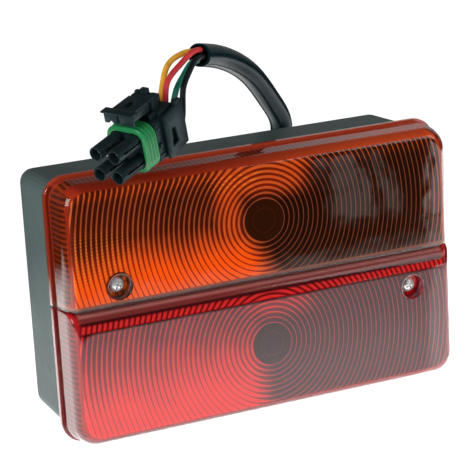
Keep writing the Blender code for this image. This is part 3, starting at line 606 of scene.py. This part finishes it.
def box_shape(low, high, width, slant=None):
    """A box with rounded edges. Slant moves its corners: a function of a corner that returns its place."""
    bm = bmesh.new()
    low, high = Vector(low), Vector(high)
    bmesh.ops.create_cube(bm, size=1)
    for vert in bm.verts:
        vert.co = Vector([(low[i] + high[i]) / 2 + vert.co[i] * (high[i] - low[i]) for i in range(3)])
        if slant:
            vert.co = slant(vert.co.copy())
    if width:
        bevel_all(bm, width)
    return bm


def rod_shape(start, end, radius, sides=32):
    """A round bar between two places."""
    bm = bmesh.new()
    start, end = Vector(start), Vector(end)
    along = end - start
    turn = along.to_track_quat("Z", "Y").to_matrix().to_4x4()
    bmesh.ops.create_cone(
        bm,
        cap_ends=True,
        segments=sides,
        radius1=radius,
        radius2=radius,
        depth=along.length,
        matrix=Matrix.Translation((start + end) / 2) @ turn,
    )
    return bm


def circle_points(radius, sides):
    """Pairs of coordinates evenly round a circle."""
    angles = [2 * pi * i / sides for i in range(sides)]
    return [(radius * cos(angle), radius * sin(angle)) for angle in angles]


def turned_shape(profile, sides=ROUND_SIDES, closed=False):
    """A shape turned about Z from pairs of radius and height."""
    bm = bmesh.new()
    rings = []
    for radius, height in profile:
        if radius < 1e-7:
            rings.append([bm.verts.new((0, 0, height))])
            continue
        rings.append([bm.verts.new((*place, height)) for place in circle_points(radius, sides)])
    pairs = list(zip(rings[:-1], rings[1:]))
    if closed:
        pairs.append((rings[-1], rings[0]))
    for ring, following in pairs:
        for i in range(sides):
            after = (i + 1) % sides
            near = [ring[i % len(ring)], ring[after % len(ring)]]
            far = [following[after % len(following)], following[i % len(following)]]
            corners = list(dict.fromkeys(near + far))
            if len(corners) > 2:
                bm.faces.new(corners)
    return bm


def merged(*shapes):
    """Several shapes as one bmesh."""
    whole = bmesh.new()
    for shape in shapes:
        mesh = mesh_of("part", shape)
        whole.from_mesh(mesh)
        bpy.data.meshes.remove(mesh)
    return whole


def carved(shape, *cutters):
    """A shape with other shapes cut out of it."""
    objects = []
    for bm in (shape, *cutters):
        bmesh.ops.recalc_face_normals(bm, faces=bm.faces)
        objects.append(new_object("carving", mesh_of("carving", bm)))
    for cutter in objects[1:]:
        modifier = objects[0].modifiers.new("cut", "BOOLEAN")
        modifier.operation = "DIFFERENCE"
        modifier.solver = "EXACT"
        modifier.object = cutter
    bpy.context.view_layer.update()
    evaluated = objects[0].evaluated_get(bpy.context.evaluated_depsgraph_get())
    result = bmesh.new()
    result.from_mesh(evaluated.to_mesh())
    evaluated.to_mesh_clear()
    for made in objects:
        mesh = made.data
        bpy.data.objects.remove(made)
        bpy.data.meshes.remove(mesh)
    return result


def rounded_outline(left, right, bottom, top, low_radius, high_radius, steps=10):
    """Points of a rectangle with rounded corners, as pairs, from the upper right round to the left."""
    corners = (
        (right - high_radius, top - high_radius, high_radius, 0),
        (left + high_radius, top - high_radius, high_radius, 90),
        (left + low_radius, bottom + low_radius, low_radius, 180),
        (right - low_radius, bottom + low_radius, low_radius, 270),
    )
    points = []
    for x, z, radius, first in corners:
        for step in range(steps + 1):
            angle = radians(first + 90 * step / steps)
            points.append((x + radius * cos(angle), z + radius * sin(angle)))
    return points


def loft(bm, sections):
    """Joins sections with the same number of points and returns the rings of vertices."""
    rings = [[bm.verts.new(point) for point in section] for section in sections]
    for ring, following in zip(rings[:-1], rings[1:]):
        for index in range(len(ring)):
            after = (index + 1) % len(ring)
            bm.faces.new((ring[index], ring[after], following[after], following[index]))
    return rings


# ---- cover


def lens_ring(half, y, inset, valley_inset, corner, valley_corner):
    """One closed line round a lens half, at a depth y."""
    near = GAP / 2 + valley_inset
    side = HALF_WIDTH - inset
    far = HALF_HEIGHT - inset
    if half == "amber":
        outline = rounded_outline(-side, side, SPLIT + near, far, valley_corner, corner)
    else:
        outline = rounded_outline(-side, side, -far, SPLIT - near, corner, valley_corner)
    return [(x, y, z) for x, z in outline]


def lens_front_rings(half, skin, valley_skin):
    """The rings from a lens half's root to its face, set in by the skin's thickness there."""
    steps = 12
    margin = 0.3 * MM
    valley_rounding = VALLEY_ROUNDINGS[half]

    def ring(depth, shrink, extra=0.0):
        return lens_ring(
            half,
            FRONTS[half] + skin + depth,
            FLANGE_STEP + LENS_DRAFT + skin + FRONT_ROUNDING * shrink + extra,
            valley_skin + valley_rounding * shrink + extra,
            LENS_CORNER - LENS_DRAFT - FRONT_ROUNDING * shrink * 0.6,
            SEAM_CORNER + valley_rounding * shrink * 0.6,
        )

    angles = [pi / 2 * step / steps for step in range(steps + 1)]
    rings = [ring(ROUNDING_DEPTH * (1 - sin(angle)), 1 - cos(angle)) for angle in angles]
    return rings + [ring(0.0, 1.0, margin)]


def close_face(bm, ring, half, y, hole_radius):
    """Fills a lens half's face round the hole for its screw well."""
    x, z = SCREWS[half]
    circle = [bm.verts.new((x + right, y, z + up)) for right, up in circle_points(hole_radius, ROUND_SIDES)]
    edges = [bm.edges.get((a, b)) for a, b in zip(ring, ring[1:] + ring[:1])]
    edges += [bm.edges.new((a, b)) for a, b in zip(circle, circle[1:] + circle[:1])]
    bmesh.ops.triangle_fill(bm, use_beauty=True, use_dissolve=False, edges=edges, normal=(0, -1, 0))


def add_lens_piece(half, kind, bm, material, angle):
    """A piece of a lens half. All of them together stand for the CAD's half."""
    add_piece(f"lens_{half}_{kind}", bm, material, "cover", ["lens_" + half], angle)


def add_skin(half):
    """The outside of a lens half, with its flange."""
    edge = 0.15 * MM
    back_inset = 5.6 * MM
    bm = bmesh.new()
    wall_corner = LENS_CORNER - FLANGE_STEP
    wall_end = FRONTS[half] + ROUNDING_DEPTH + 0.8 * MM
    taper = LENS_DRAFT * 0.9
    rows = (
        (LENS_BACK, back_inset, 1.8 * MM, 4.4 * MM),
        (LENS_BACK, 0, 0, LENS_CORNER),
        (FLANGE_FRONT + edge, 0, 0, LENS_CORNER),
        (FLANGE_FRONT, edge, 0, LENS_CORNER),
        (FLANGE_FRONT, FLANGE_STEP, 0, wall_corner),
        (wall_end, FLANGE_STEP + taper, 0, wall_corner - taper),
    )
    sections = [lens_ring(half, *row, SEAM_CORNER) for row in rows]
    rings = loft(bm, sections + lens_front_rings(half, 0, 0))
    close_face(bm, rings[-1], half, FRONTS[half], WELL_RADIUS + 0.5 * MM)
    add_lens_piece(half, "skin", bm, skin_material(half), angle=30)


def add_flutes(half):
    """The fluted layer under the skin. It fills the flange too."""
    thin = 0.2 * MM
    flange_inset = 0.08 * MM
    flange_corner = LENS_CORNER - flange_inset
    wall_inset = FLANGE_STEP + SKIN
    wall_corner = LENS_CORNER - FLANGE_STEP
    bm = bmesh.new()
    rows = (
        (LENS_BACK - thin, wall_inset + 2 * MM, wall_corner - 2 * MM),
        (LENS_BACK - thin, flange_inset, flange_corner),
        (FLANGE_FRONT + thin, flange_inset, flange_corner),
        (FLANGE_FRONT + thin, wall_inset, wall_corner),
    )
    sections = [lens_ring(half, y, inset, thin, corner, SEAM_CORNER) for y, inset, corner in rows]
    rings = loft(bm, sections + lens_front_rings(half, SKIN, thin))
    close_face(bm, rings[-1], half, FRONTS[half] + SKIN, WELL_OUTER_RADIUS + 0.1 * MM)
    add_lens_piece(half, "flutes", bm, flute_material(half), angle=50)


def add_weld():
    """The welded seam that fills the gap between the two halves, narrower towards the front."""
    thin = 0.1 * MM
    right_side = ((79, -34.5), (78.9, -37.2), (78, -43.5), (77.2, -46), (75, -48.2), (73, -48.9))
    outline = list(right_side) + [(-x, y) for x, y in reversed(right_side)]
    sections = []
    for z in (SPLIT - GAP / 2 - thin, SPLIT + GAP / 2 + thin):
        sections.append([(x * MM, y * MM, z) for x, y in outline])
    bm = capped_loft(sections)
    add_piece("lens_weld", bm, MATERIALS["lens_weld"], "cover", ["lens_red"], angle=30)


def add_well(half):
    """The well that a lens screw sits in, with a rounded lip and a floor with a hole for the screw."""
    x, z = SCREWS[half]
    lip = 0.5 * MM
    bore = 1.9 * MM
    profile = [
        (WELL_OUTER_RADIUS, -lip),
        (WELL_RADIUS + lip, 0),
        (WELL_RADIUS + lip * 0.4, -lip * 0.1),
        (WELL_RADIUS, -lip * 0.6),
        (WELL_RADIUS, -WELL_DEPTH + 0.6 * MM),
        (WELL_RADIUS - 0.4 * MM, -WELL_DEPTH),
        (bore, -WELL_DEPTH),
        (bore, -WELL_DEPTH - WELL_FLOOR),
        (WELL_OUTER_RADIUS, -WELL_DEPTH - WELL_FLOOR),
    ]
    bm = turned_shape(profile, closed=True)
    turn = Matrix.Translation((x, FRONTS[half], z)) @ Matrix.Rotation(radians(90), 4, "X")
    bmesh.ops.transform(bm, matrix=turn, verts=bm.verts)
    add_lens_piece(half, "well", bm, well_material(half), angle=40)


def add_screw(half):
    """A pan-head screw with a cross recess, standing for the CAD's."""
    x, z = SCREWS[half]
    head = 2.7 * MM
    top = 2.1 * MM
    shank = 1.5 * MM
    length = 25 * MM
    dome = [(0, top)]
    for step in range(1, 7):
        angle = pi / 2 * step / 6
        dome.append((head * sin(angle), top * 0.4 + top * 0.6 * cos(angle)))
    profile = dome + [(head, GAP), (shank, GAP)]
    thread_start = -8 * MM
    thread_turns = 38
    pitch = 0.4 * MM
    for turn in range(thread_turns):
        place = thread_start - turn * pitch
        profile += [(shank, place), (shank * 0.8, place - pitch / 2)]
    profile += [(0.5 * MM, -length), (0, -length)]
    arm = head * 0.62
    width = 0.36 * MM
    floor = top * 0.3
    cross = [
        box_shape((-arm, -width, floor), (arm, width, top * 2), 0),
        box_shape((-width, -arm, floor), (width, arm, top * 2), 0),
    ]
    bm = carved(turned_shape(profile, sides=32), *cross)
    spin = Matrix.Rotation(radians(SCREW_SPINS[half]), 4, "Z")
    face_front = Matrix.Rotation(radians(90), 4, "X")
    place = Matrix.Translation((x, FRONTS[half] + WELL_DEPTH, z))
    bmesh.ops.transform(bm, matrix=place @ face_front @ spin, verts=bm.verts)
    name = "lens_screw_" + half
    slot = "zinc_steel"
    add_piece(name + "_shaped", bm, MATERIALS[slot], "screw_" + half, [name], angle=35)


# ---- cords


def smooth_route(points, spacing):
    """Points at an even spacing on the natural cubic spline through a route."""
    places = np.array(points, dtype=float)
    count = len(places)
    spans = np.linalg.norm(np.diff(places, axis=0), axis=1)
    matrix = np.zeros((count, count))
    pull = np.zeros((count, 3))
    matrix[0, 0] = 1
    matrix[-1, -1] = 1
    for i in range(1, count - 1):
        before, after = spans[i - 1], spans[i]
        matrix[i, i - 1 : i + 2] = before, 2 * (before + after), after
        slope_after = (places[i + 1] - places[i]) / after
        slope_before = (places[i] - places[i - 1]) / before
        pull[i] = 6 * (slope_after - slope_before)
    curve = np.linalg.solve(matrix, pull)
    fine = []
    for i, span in enumerate(spans):
        for there in np.linspace(0, span, 60, endpoint=i == count - 2):
            back = span - there
            bend = (curve[i] * back**3 + curve[i + 1] * there**3) / (6 * span)
            start = (places[i] / span - curve[i] * span / 6) * back
            end = (places[i + 1] / span - curve[i + 1] * span / 6) * there
            fine.append(bend + start + end)
    fine = np.array(fine)
    travelled = np.concatenate([[0], np.cumsum(np.linalg.norm(np.diff(fine, axis=0), axis=1))])
    steps = max(2, round(travelled[-1] / spacing))
    wanted = np.linspace(0, travelled[-1], steps + 1)
    return np.stack([np.interp(wanted, travelled, fine[:, axis]) for axis in range(3)], axis=1)


def frames_along(points):
    """A turning-free pair of side directions at each point of a route."""
    tangents = np.gradient(points, axis=0)
    tangents /= np.linalg.norm(tangents, axis=1)[:, None]
    side = np.cross(tangents[0], (0.0, 0.0, 1.0))
    side /= np.linalg.norm(side)
    pairs = []
    for tangent in tangents:
        side = side - tangent * side.dot(tangent)
        side /= np.linalg.norm(side)
        pairs.append((side, np.cross(tangent, side)))
    return pairs


def add_sleeve():
    """The hollow sleeve: a tube with a real wall and an open mouth, a little flattened there."""
    points = smooth_route(SLEEVE_ROUTE, SLEEVE_ROUTE_SPACING)
    pairs = frames_along(points)
    sides = 40
    outer = SLEEVE_DIAMETER / 2
    inner = outer - SLEEVE_WALL
    last = len(points) - 1
    mouth_rings = 10
    flattening = 0.06
    lip = 0.2 * MM * (points[-1] - points[-2]) / SLEEVE_ROUTE_SPACING
    rings = []

    def ring(index, radius):
        side, rise = pairs[index]
        near_mouth = max(0.0, 1 - (last - index) / mouth_rings)
        squeeze = 1 - flattening * near_mouth
        turned = []
        for i in range(sides):
            angle = 2 * pi * i / sides
            turned.append(points[index] + radius * (squeeze * cos(angle) * side + sin(angle) * rise))
        return turned

    bm = bmesh.new()
    for index in range(last + 1):
        rings.append(ring(index, outer))
    rings.append([place + lip for place in ring(last, outer - SLEEVE_WALL * 0.4)])
    for index in range(last, -1, -1):
        rings.append(ring(index, inner))
    loft(bm, rings)
    slot = "sleeve_plastic"
    cad = ["cable_sleeve"]
    sleeve = add_piece("cable_sleeve_tube", bm, MATERIALS[slot], "lamp_base", cad, angle=60)


def add_wires(connector_pieces):
    """The four wires from the sleeve's mouth to the connector."""
    for colour, route in WIRE_ROUTES.items():
        points = smooth_route(route, WIRE_ROUTE_SPACING)
        curve = bpy.data.curves.new("wire_" + colour, "CURVE")
        curve.dimensions = "3D"
        curve.bevel_depth = WIRE_DIAMETER / 2
        curve.bevel_resolution = 5
        curve.use_fill_caps = True
        spline = curve.splines.new("POLY")
        spline.points.add(len(points) - 1)
        for point, place in zip(spline.points, points):
            point.co = (*place, 1)
        spline.use_smooth = True
        curve.materials.append(MATERIALS[colour + "_wire"])
        wire = new_object("wire_" + colour + "_run", curve)
        declare(wire, "lamp_base", ["wire_" + colour])


# ---- connector


def add_connector_piece(name, bm, slot, body, cad, place=None, angle=35):
    """A piece of the connector, drawn in the connector's own frame or in a hinge's."""
    matrix = Matrix.Translation(CONNECTOR_PLACE) @ CONNECTOR_TURN.to_matrix().to_4x4()
    if place is not None:
        matrix = matrix @ Matrix.Translation(place)
    bmesh.ops.transform(bm, matrix=matrix, verts=bm.verts)
    return add_piece(name, bm, MATERIALS[slot], body, cad, angle)


def square_ring(x, half, radius):
    outline = rounded_outline(-half, half, -half, half, radius, radius, steps=8)
    return [(x, y, z) for y, z in outline]


def block(low, high, width=0.35, slant=None):
    """A box with rounded edges, in millimetres."""
    scaled = [[c * MM for c in corner] for corner in (low, high)]
    return box_shape(*scaled, width=width * MM, slant=slant)


def capped_loft(sections):
    bm = bmesh.new()
    rings = loft(bm, sections)
    bm.faces.new(rings[0])
    bm.faces.new(rings[-1])
    return bm


def tower(y, z):
    """One round tower: a thin tube with a lead-in at its mouth and a long slit in its side."""
    outer = 2.7 * MM
    inner = 2.1 * MM
    end = 15.6 * MM
    lead = 0.35 * MM
    profile = [
        (outer - 0.2 * MM, 0),
        (outer, 0.25 * MM),
        (outer, end),
        (inner, end),
        (inner, lead),
        (inner + 0.25 * MM, 0),
    ]
    bm = turned_shape(profile, sides=32, closed=True)
    bmesh.ops.transform(bm, matrix=Matrix.Rotation(radians(90), 4, "Y"), verts=bm.verts)
    bmesh.ops.translate(bm, vec=(0, y, z), verts=bm.verts)
    slit = box_shape(
        (3 * MM, y - 3 * MM, z - 0.05 * MM), (13.2 * MM, y - 1.2 * MM, z + 0.85 * MM), 0
    )
    return carved(bm, slit)


# The latch's bed and cheeks, two teeth, the central nub, the locks' catches and two ribs at the right:
# each has its low corner, its high corner and its rounding, in millimetres
SHELL_BLOCKS = (
    ((25, -6.9, 6), (33.3, 6.9, 9.6), 0.4),
    ((21.2, -5.6, 7.6), (24.8, -4.4, 10.2), 0.35),
    ((21.2, 4.4, 7.6), (24.8, 5.6, 10.2), 0.35),
    ((26.2, -1.6, 14.6), (28.4, 1.4, 17.2), 0.35),
    ((26.6, 2.2, 14.6), (28.3, 4.2, 16.0), 0.35),
    ((30.6, -1.6, 9), (33.2, 1.6, 12.6), 0.35),
    ((20.6, -8.7, -2.0), (22.2, -7.8, -0.4), 0.25),
    ((20.6, 7.8, -2.0), (22.2, 8.7, -0.4), 0.25),
    ((20.8, -8.35, -5.6), (23.4, -7.8, -4.6), 0.2),
    ((20.8, -8.35, 4.6), (23.4, -7.8, 5.6), 0.2),
)


def add_connector_body():
    """The shell, its core under the seal, the four towers and the latch's root."""
    half = 8 * MM
    shell = capped_loft(
        [
            square_ring(19.9 * MM, half - 0.4 * MM, 1.6 * MM),
            square_ring(20.3 * MM, half, 1.6 * MM),
            square_ring(33.2 * MM, half, 1.6 * MM),
            square_ring(33.5 * MM, half - 0.3 * MM, 1.6 * MM),
        ]
    )
    ways = [(y * WAY_OFFSET, z * WAY_OFFSET) for y in (-1, 1) for z in (-1, 1)]
    pockets = [rod_shape((27 * MM, y, z), (35 * MM, y, z), 2.75 * MM) for y, z in ways]
    shell = carved(shell, *pockets)
    core = capped_loft(
        [square_ring(13.7 * MM, 6.3 * MM, 2.4 * MM), square_ring(21 * MM, 6.5 * MM, 2.5 * MM)]
    )
    parts = [shell, core] + [tower(y, z) for y, z in ways]
    root = block((24.6, -4.4, 6), (28.6, 4.4, 15.25))
    opening = block((23, -2.4, 10.4), (30, 2.4, 13.2), 0)
    parts.append(carved(root, opening))
    for low, high, rounding in SHELL_BLOCKS:
        parts.append(block(low, high, rounding))
    whole = merged(*parts)
    cad = ["connector_body"]
    return add_connector_piece("connector_shell", whole, "connector_plastic", "lamp_base", cad)


def add_connector_seal():
    """The ring seal: a front lip and soft rounded ribs."""
    start = 12.7
    end = 19.6
    ribs = 4
    pitch = (end - start) / ribs
    sections = []
    for rib in range(ribs):
        for step in range(7):
            share = (step + 0.5) / 7
            swell = max(0.0, sin(pi * share)) ** 0.5
            half = 7.8 + 0.95 * swell
            place = start + (rib + share) * pitch
            sections.append(square_ring(place * MM, half * MM, (half - 3.9) * MM))
    sections.append(square_ring((end - 0.05) * MM, 7 * MM, 3 * MM))
    sections.append(square_ring((start + 0.05) * MM, 7 * MM, 3 * MM))
    sections.append(sections[0])
    bm = bmesh.new()
    loft(bm, sections)
    bmesh.ops.remove_doubles(bm, verts=bm.verts, dist=1e-7)
    cad = ["connector_seal"]
    return add_connector_piece("connector_seal_ribbed", bm, "green_seal", "lamp_base", cad, angle=55)


def add_connector_latch():
    """The latch: a slotted arm with side skirts, and a thin hood over two front panels."""
    length = 12.2
    top = 0.95
    front = -length - 1.8
    arm = block((-length, -4.8, -0.6), (0, 4.8, 0.75))
    slot = block((-8.2, -1.1, -4), (-3.6, 1.1, 4), 0)
    arm = carved(arm, slot)
    hood = block((front, -6.7, top - 0.75), (front + 3.6, 7.2, top), 0.2)
    shapes = [arm, hood]
    for side in (-1, 1):
        shapes.append(block((-length, side * 4.3 - 0.5, -3.4), (-1.5, side * 4.3 + 0.5, 0.2)))
        middle = side * 3.5
        panel = block((front + 0.6, middle - 2.9, -3.6), (front + 1.6, middle + 2.9, top - 0.5), 0.2)
        if side == 1:
            arch = rod_shape((-20 * MM, 3.6 * MM, -3.6 * MM), (-10 * MM, 3.6 * MM, -3.6 * MM), 1.0 * MM)
            panel = carved(panel, arch)
        shapes.append(panel)
    shapes.append(block((front + 1.1, -1.5, -2.8), (front + 1.8, 1.5, 0.4), 0.1))
    whole = merged(*shapes)
    name = "connector_latch"
    return add_connector_piece(name + "_arm", whole, "connector_plastic", "latch", [name], LATCH_HINGE)


def add_connector_lock(name, side, body):
    """A hinged lock: a side plate that rises to the back, a window, a lip, a finger and a nub."""
    hinge = Vector((LOCK_HINGE_X, side * LOCK_HINGE_Y, 0))

    def own(low, high, width=0.3, slant=None):
        corners = []
        for x, y, z in (low, high):
            corners.append((x - hinge.x / MM, side * (y - LOCK_HINGE_Y / MM), z))
        low = [min(a, b) for a, b in zip(*corners)]
        high = [max(a, b) for a, b in zip(*corners)]
        return block(low, high, width, slant)

    def lean(corner):
        """Lifts the plate towards its back."""
        corner.z += 0.16 * max(0.0, corner.x)
        return corner

    def taper(corner):
        """Narrows the window towards its top."""
        if corner.z > 0:
            corner.x += 0.8 * MM if corner.x < 3.6 * MM else -0.8 * MM
        return lean(corner)

    plate = own((23.8, 8.3, -8), (35.2, 9.7, 8.7), 0, lean)
    window = own((26.4, 7, -4.2), (29.8, 11, 2.0), 0, taper)
    plate = carved(plate, window)
    bevel_all(plate, 0.3 * MM)
    lip = own((33.8, 5.6, -6.6), (35.1, 9.6, 8.6), 0.3, lean)
    finger = own((33.9, 1.2, -1.4), (35.0, 6.5, 1.4))
    nub = own((31.4, 7.6, 9.0), (34.6, 9.5, 11.4))
    barrel = rod_shape((0, 0, -6 * MM), (0, 0, 6 * MM), 0.75 * MM, sides=16)
    whole = merged(plate, lip, finger, nub, barrel)
    return add_connector_piece(name + "_plate", whole, "connector_plastic", body, [name], hinge)


def add_connector():
    pieces = [add_connector_body(), add_connector_seal(), add_connector_latch()]
    pieces.append(add_connector_lock("connector_lock_right", -1, "lock_right"))
    pieces.append(add_connector_lock("connector_lock_left", 1, "lock_left"))
    return pieces


# ---- finishes

DARK_STEEL = (0.3, 0.27, 0.23)
# Each plastic: colour, roughness, grain, grain depth, shade, gloss and the gloss's tint
PLASTICS = {
    "housing_plastic": ((0.066, 0.094, 0.091), 0.5, 0.5, 0.03 * MM, 0.12, 0.08),
    "gasket_rubber": ((0.02, 0.02, 0.021), 0.75, 0.4, 0.03 * MM),
    "white_plastic": ((0.75, 0.75, 0.72), 0.45, 0.6, 0.01 * MM, 0.06),
    "board": ((0.3, 0.15, 0.06), 0.6, 0.8, 0.02 * MM, 0.3),
    "base_insulation": ((0.015, 0.015, 0.018), 0.2, 0.8, 0.01 * MM),
    "sleeve_plastic": ((0.003, 0.012, 0.016), 0.24, 1.5, 0.004 * MM, 0.2, 0.03, BLUISH),
    "connector_plastic": ((0.009, 0.016, 0.019), 0.4, 0.35, 0.015 * MM, 0.2, 0.14, BLUISH),
    "green_seal": ((0.012, 0.2, 0.06), 0.3, 0.7, 0.01 * MM, 0.12, 0.4),
    "lens_weld": ((0.06, 0.014, 0.014), 0.25, 0.8, 0.02 * MM, 0.3),
}
# Each metal: colour, roughness and the colour of its tarnish
METALS = {
    "zinc_steel": ((0.88, 0.9, 0.9), 0.3, DARK_STEEL),
    "brass": ((0.8, 0.68, 0.42), 0.28, (0.45, 0.33, 0.16)),
    "filament_steel": ((0.6, 0.6, 0.6), 0.25, DARK_STEEL),
}
WIRE_COLOURS = {
    "yellow": (0.72, 0.36, 0.03),
    "red": (0.5, 0.03, 0.035),
    "green": (0.015, 0.21, 0.14),
    "black": (0.004, 0.008, 0.01),
}


def make_materials():
    made = {"bulb_glass": clear_glass("bulb_glass")}
    for name, looks in PLASTICS.items():
        made[name] = moulded_plastic(name, *looks)
    for name, looks in METALS.items():
        made[name] = metal(name, *looks)
    for colour, base in WIRE_COLOURS.items():
        name = colour + "_wire"
        made[name] = wire_insulation(name, base)
    return made


def finish_cad_nodes():
    """Gives every CAD node that stays in view its own finish, by the record's material slots."""
    for part in frame["record"]["subparts"]:
        finish = MATERIALS.get(part["material_slot"], MATERIALS["white_plastic"])
        materials = frame["nodes"][part["node"]].data.materials
        materials.clear()
        materials.append(finish)


# ---- floor and light

FLOOR = -HALF_HEIGHT - 0.2 * MM
# How much the bright strip and the two bars lean to the left towards the back, and the bars' shift
EDGE_SLANT = 0.594
BAR_SLANT = 0.458
BAR_SHIFT = 0.0229


def stage_plane(name, low, high, height, material):
    bm = bmesh.new()
    corners = [(low[0], low[1]), (high[0], low[1]), (high[0], high[1]), (low[0], high[1])]
    bm.faces.new([bm.verts.new((x, y, height)) for x, y in corners])
    mesh = mesh_of(name, bm)
    mesh.materials.append(material)
    plane = new_object(name, mesh)
    return plane


def glow_card(name, low, high, height, strength_of):
    """A sheet that only shows in glossy surfaces. Its brightness is a function of its x and y in metres."""
    g = Graph(name)
    _, x, y, _ = g.places()
    x = g.times(x, MM)
    y = g.times(y, MM)
    g.paint("Base Color", (0, 0, 0))
    g.paint("Specular IOR Level", 0.0)
    g.paint("Emission Color", WHITE)
    g.paint("Emission Strength", strength_of(g, x, y))
    card = stage_plane(name, low, high, height, g.finish(WHITE))
    card.visible_camera = False
    card.visible_diffuse = False
    card.visible_shadow = False
    card.visible_transmission = False


def edge_strength(g, x, y):
    """A strip of light that shows all along the right edge of both halves."""
    return g.step(g.plus(x, g.times(y, EDGE_SLANT)), 0.033, 0.039)


def paper_strength(g, x, y):
    """Brightest by the lamp's foot, dimmer towards the front, with a soft edge behind."""
    middle = g.step(y, -0.25, -0.21)
    near = g.times(g.step(y, -0.212, -0.165), 0.9)
    foot = g.step(y, -0.17, -0.075)
    total = g.plus(g.plus(middle, near), foot)
    total = g.plus(total, g.times(edge_strength(g, x, y), 1.6))
    return g.times(total, g.step(y, 0.178, 0.112), g.step(x, -0.33, -0.26))


def patch_strength(g, x, y):
    """Two soft slanting bars of light, as from things that stand in front of the lamp."""
    across = g.plus(g.plus(x, g.times(y, BAR_SLANT)), BAR_SHIFT)
    wide = g.times(g.step(across, 0.038, 0.048), g.step(across, 0.068, 0.063))
    narrow = g.times(g.step(across, 0.07, 0.074), g.step(across, 0.084, 0.078))
    bars = g.most(wide, g.times(narrow, 0.85))
    length = g.times(g.step(y, -0.46, -0.4), g.step(y, -0.27, -0.295))
    place = g.node("CombineXYZ", {0: x, 1: y}).outputs[0]
    cloud = g.step(g.noise(place, 28.0, 3, 0.6), 0.36, 0.5)
    patches = g.times(bars, length, g.plus(g.times(cloud, 0.6), 0.25))
    return g.plus(patches, g.times(edge_strength(g, x, y), 2.4))


def add_floor():
    """A wide pale floor, and the bright paper and patches of light that show in the lamp's gloss."""
    g = Graph("pale_floor")
    g.paint("Base Color", (0.25, 0.25, 0.25))
    g.paint("Roughness", 0.9)
    g.paint("Emission Color", WHITE)
    g.paint("Emission Strength", 0.93)
    floor = stage_plane("floor", (-4, -3), (4, 5), FLOOR, g.finish((0.9, 0.9, 0.9)))
    floor.visible_glossy = False
    glow_card("paper", (-0.6, -0.262), (0.5, 0.21), FLOOR + 0.1 * MM, paper_strength)
    glow_card("patches", (-0.1, -0.5), (0.5, -0.265), FLOOR + 0.1 * MM, patch_strength)


def add_area(name, place, size, power):
    """A soft light that looks at the lamp's middle."""
    data = bpy.data.lights.new(name, "AREA")
    data.shape = "RECTANGLE"
    data.size, data.size_y = size
    data.energy = power
    light = new_object(name, data)
    place = Vector(place)
    light.matrix_world = Matrix.Translation(place) @ (-place).to_track_quat("-Z", "Y").to_matrix().to_4x4()


def add_lights():
    """Soft light from the upper left in front, a weaker one from the right, and a white surround.

    Glossy surfaces see a darker sky, with a paler band low behind the lamp.
    """
    add_area("key", (-1.1, -0.6, 0.6), (0.7, 0.7), 10)
    add_area("fill", (1.0, -0.9, 0.7), (0.8, 0.8), 4)
    g = Graph("studio", "worlds")
    g.paint("Color", WHITE)
    x, y, z = g.node("SeparateXYZ", {0: g.node("TexCoord").outputs["Generated"]}).outputs
    low_sky = g.times(g.step(z, -0.02, 0.03), g.step(z, 0.6, 0.45))
    back_sky = g.times(low_sky, g.step(y, 0.1, 0.4))
    lit_sky = g.times(back_sky, g.run(x, 0.33, 0.48, 0.1, 0.5))
    reflected = g.plus(lit_sky, g.run(y, -0.5, 0.5, 0.03, 0.035))
    glossy_ray = g.node("LightPath").outputs["Is Glossy Ray"]
    strength = g.node("Mix", {"Factor": glossy_ray, "A": g.run(z, 0.1, 0.8, 0.9, 0.16), "B": reflected})
    g.paint("Strength", strength.outputs["Result"])
    bpy.context.scene.world = g.owner
    bpy.context.scene.view_settings.view_transform = "Standard"


# ---- the scene

MATERIALS = make_materials()
add_camera()
add_sleeve()
add_wires(add_connector())
for half in ("amber", "red"):
    add_skin(half)
    add_flutes(half)
    add_well(half)
    add_screw(half)
add_weld()
finish_cad_nodes()
add_floor()
add_lights()
